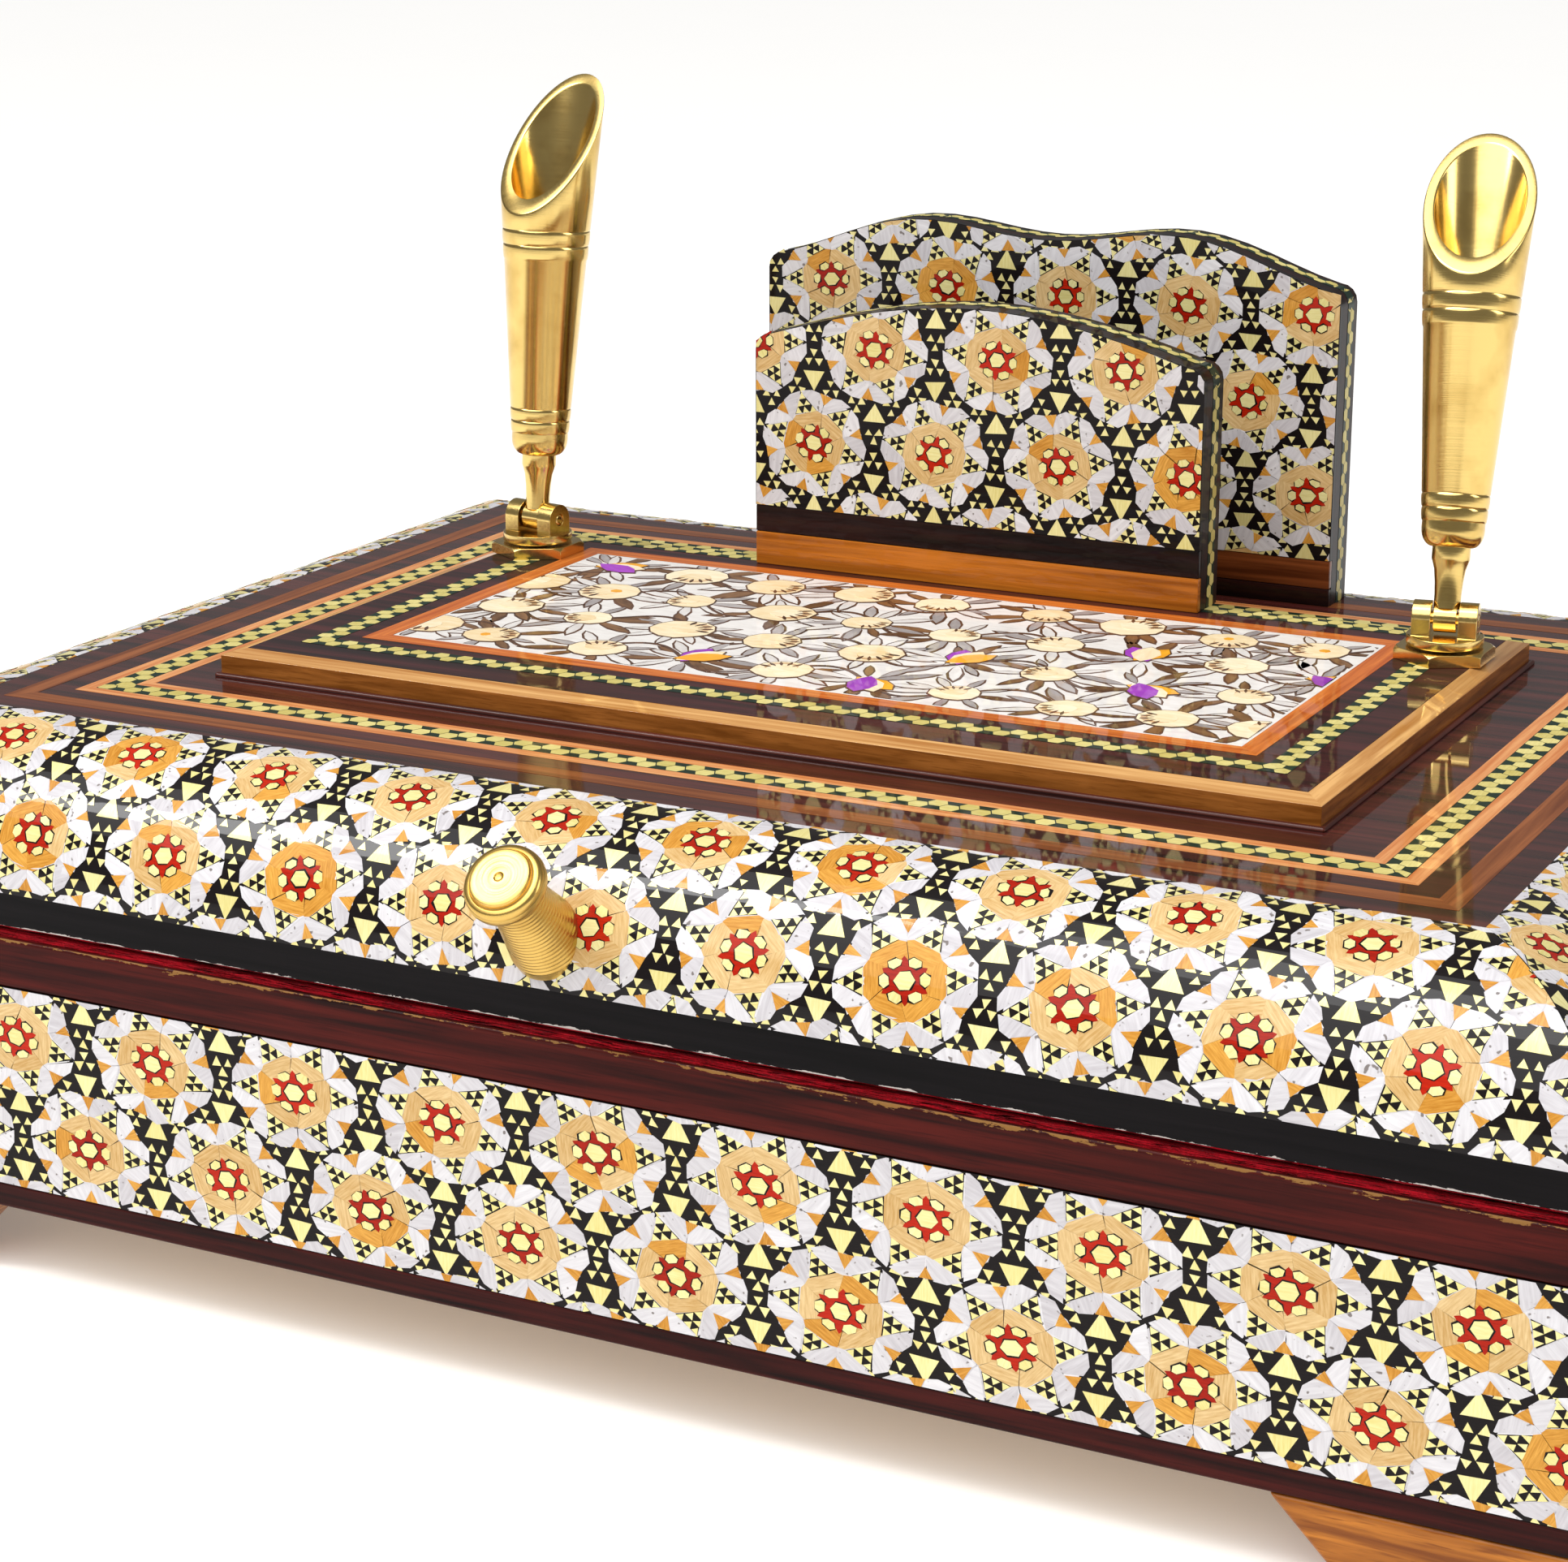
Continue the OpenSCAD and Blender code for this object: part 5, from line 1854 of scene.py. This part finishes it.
@dataclass
class VelvetLining:
    """Red velvet glued over the floor, round the walls and under the lid."""

    thick: float = 0.8
    play: float = 0.1

    def build(self) -> None:
        """Model the linings as thin cloth with soft edges."""
        for node in ("floor_velvet", "lid_velvet"):
            span = Span.of(node)
            cloth = self.cloth(f"{node}_cloth", span.size.x, span.size.y, 56, 40, span.size.z)
            cloth.data.transform(Matrix.Translation((span.mid.x * MM, span.mid.y * MM, span.lo.z * MM)))
            if node == "lid_velvet":
                mid = Matrix.Translation(span.mid * MM)
                cloth.data.transform(mid @ Matrix.Rotation(math.pi, 4, "X") @ mid.inverted())
            settle(cloth, BODIES[node], SLOTS[node], node)
        self.walls()

    def cloth(
        self, name: str, width: float, length: float, across: int, along: int, thick: float
    ) -> Piece:
        """Model a thin sheet whose nap dips and swells and whose edges turn down.

        Args:
            name: The piece's name.
            width: Width in millimetres.
            length: Length in millimetres.
            across: Grid squares across.
            along: Grid squares along.
            thick: Thickness in millimetres.

        Returns:
            The dressed sheet with its foot at height 0.
        """
        cloth = primitive(
            name, bpy.ops.mesh.primitive_grid_add, (width * MM, length * MM, 1),
            x_subdivisions=across, y_subdivisions=along, size=1,
        )
        rng = random.Random(name)
        for vertex in cloth.data.vertices:
            edge = min(width / 2 - abs(vertex.co.x) / MM, length / 2 - abs(vertex.co.y) / MM)
            roll = 1 - math.exp(-max(edge, 0.0) / 1.5)
            vertex.co.z = thick * MM * (0.72 + 0.22 * roll + rng.uniform(-0.03, 0.03))
        apply_modifier(cloth, "SOLIDIFY", thickness=thick * 0.7 * MM, offset=-1)
        solo(cloth)
        bpy.ops.object.shade_smooth_by_angle(angle=math.radians(50))
        dress(cloth, VELVET)
        return cloth

    def walls(self) -> None:
        """Hang one strip of cloth on each inner wall."""
        ring = Span.of("wall_velvet")
        tall = ring.size.z
        for side in Side:
            length = (ring.size.y if side % 2 else ring.size.x) - self.play
            reach = (ring.size.x if side % 2 else ring.size.y) / 2
            cloth = self.cloth(f"wall_velvet_{side.word}_cloth", length, tall, 40, 12, self.thick)
            place = Matrix(((1, 0, 0, 0), (0, 0, 1, -reach), (0, -1, 0, ring.mid.z), (0, 0, 0, 1)))
            mid = Matrix.Translation((ring.mid.x, ring.mid.y, 0))
            turn = mid @ Matrix.Rotation(math.radians(90 * side), 4, "Z")
            cloth.data.transform(Matrix.Scale(MM, 4) @ turn @ place @ Matrix.Scale(1 / MM, 4))
            with editing(cloth):
                bpy.ops.mesh.normals_make_consistent(inside=False)
            settle(cloth, "box", SLOTS["wall_velvet"])
        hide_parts("wall_velvet")


@dataclass
class Studio:
    """White paper, soft lights and the camera at the photograph's angle."""

    front: float
    lens: float = 82.934
    place: tuple[float, float, float] = (0.19355, -0.32544, 0.18605)
    pitch: float = 73.61
    yaw: float = 27.08
    sky: float = 2.45
    fill: float = 0.2

    def build(self) -> None:
        """Set the paper, the lights, the world and the camera."""
        self.paper()
        self.softbox("strip_softbox", (-0.64, -0.5, 1.0), (-0.02, -0.08, 0.06), 0.14, 0.5, 3.6)
        self.softbox("broad_softbox", (-0.2, -0.42, 1.15), (0.05, -0.08, 0.06), 0.5, 0.4, 3.0)
        self.softbox("side_softbox", (1.1, 0.1, 0.6), (0.05, 0.0, 0.08), 0.4, 0.7, 3.0)
        sun = bpy.data.lights.new("skylight", "SUN")
        sun.energy = self.sky
        sun.angle = math.radians(70)
        lamp = bpy.data.objects.new("skylight", sun)
        lamp.rotation_euler = (math.radians(28), math.radians(-10), 0)
        bpy.context.collection.objects.link(lamp)
        world = bpy.data.worlds.new("studio")
        world.use_nodes = True
        inputs = world.node_tree.nodes["Background"].inputs
        inputs["Color"].default_value, inputs["Strength"].default_value = linear("#FFFFFF"), self.fill
        bpy.context.scene.world = world
        bpy.context.scene.view_settings.view_transform = "Standard"
        self.camera()

    def paper(self) -> None:
        """Spread the paper under the box, far past the picture's top."""
        paper = primitive(
            "paper_sweep", bpy.ops.mesh.primitive_grid_add,
            x_subdivisions=8, y_subdivisions=8, size=12, location=(0, 3.0, -0.0004),
        )
        dress(paper, PaperSweep("studio_paper", "#F4F3F1"))

    def softbox(
        self, name: str, place: Sequence[float], target: Sequence[float],
        wide: float, tall: float, power: float,
    ) -> None:
        """Hang one soft area light, turned to its target.

        Args:
            name: The light's name.
            place: Where it hangs, in metres.
            target: What it faces.
            wide: Its width.
            tall: Its height.
            power: Its power in watts.
        """
        light = bpy.data.lights.new(name, "AREA")
        light.shape = "RECTANGLE"
        light.size, light.size_y, light.energy = wide, tall, power
        lamp = bpy.data.objects.new(name, light)
        lamp.location = place
        lamp.rotation_euler = (Vector(target) - Vector(place)).to_track_quat("-Z", "Y").to_euler()
        bpy.context.collection.objects.link(lamp)

    def camera(self) -> None:
        """Set the camera at the photograph's angle and distance."""
        data = bpy.data.cameras.new("camera")
        data.lens, data.sensor_width = self.lens, 36.0
        data.clip_start, data.clip_end = 0.02, 60.0
        camera = bpy.data.objects.new("camera", data)
        camera.location = (self.place[0], self.front * MM + self.place[1], self.place[2])
        camera.rotation_euler = (math.radians(self.pitch), 0, math.radians(self.yaw))
        bpy.context.collection.objects.link(camera)
        bpy.context.scene.camera = camera


def main() -> None:
    """Build the pen box's pieces in order."""
    logging.basicConfig(level=logging.INFO, format="%(name)s: %(message)s")
    front = Span.of("box_front_khatam").lo.y
    Studio(front).build()
    body = BoxBody()
    body.build()
    LidShell(body).build()
    PlinthTop().build()
    for word, pattern, base in (
        ("front", Khatam(18.4, 13.68, -5.69, 18.05, 0.93), ((4.7, ORANGE_STRIP), (3.8, DARK_WOOD_AND_SHADE))),
        # The rear panel's lowest strip is dark wood where the shadow falls at its foot: painted shade.
        ("rear", Khatam(18.3, 12.5, 3.3, 15.4), ((2.5, DARK_WOOD_AND_SHADE), (4.0, RUSSET_STRIP))),
    ):
        RackPanel(word, pattern, base).build()
    finish_nodes(BARE_WOOD, "rack_dowels")
    TurnedKnob().build()
    for word in ("left", "right"):
        PenHolder(word).build()
    ButtHinges().build()
    VelvetLining().build()


if __name__ == "__main__":
    main()
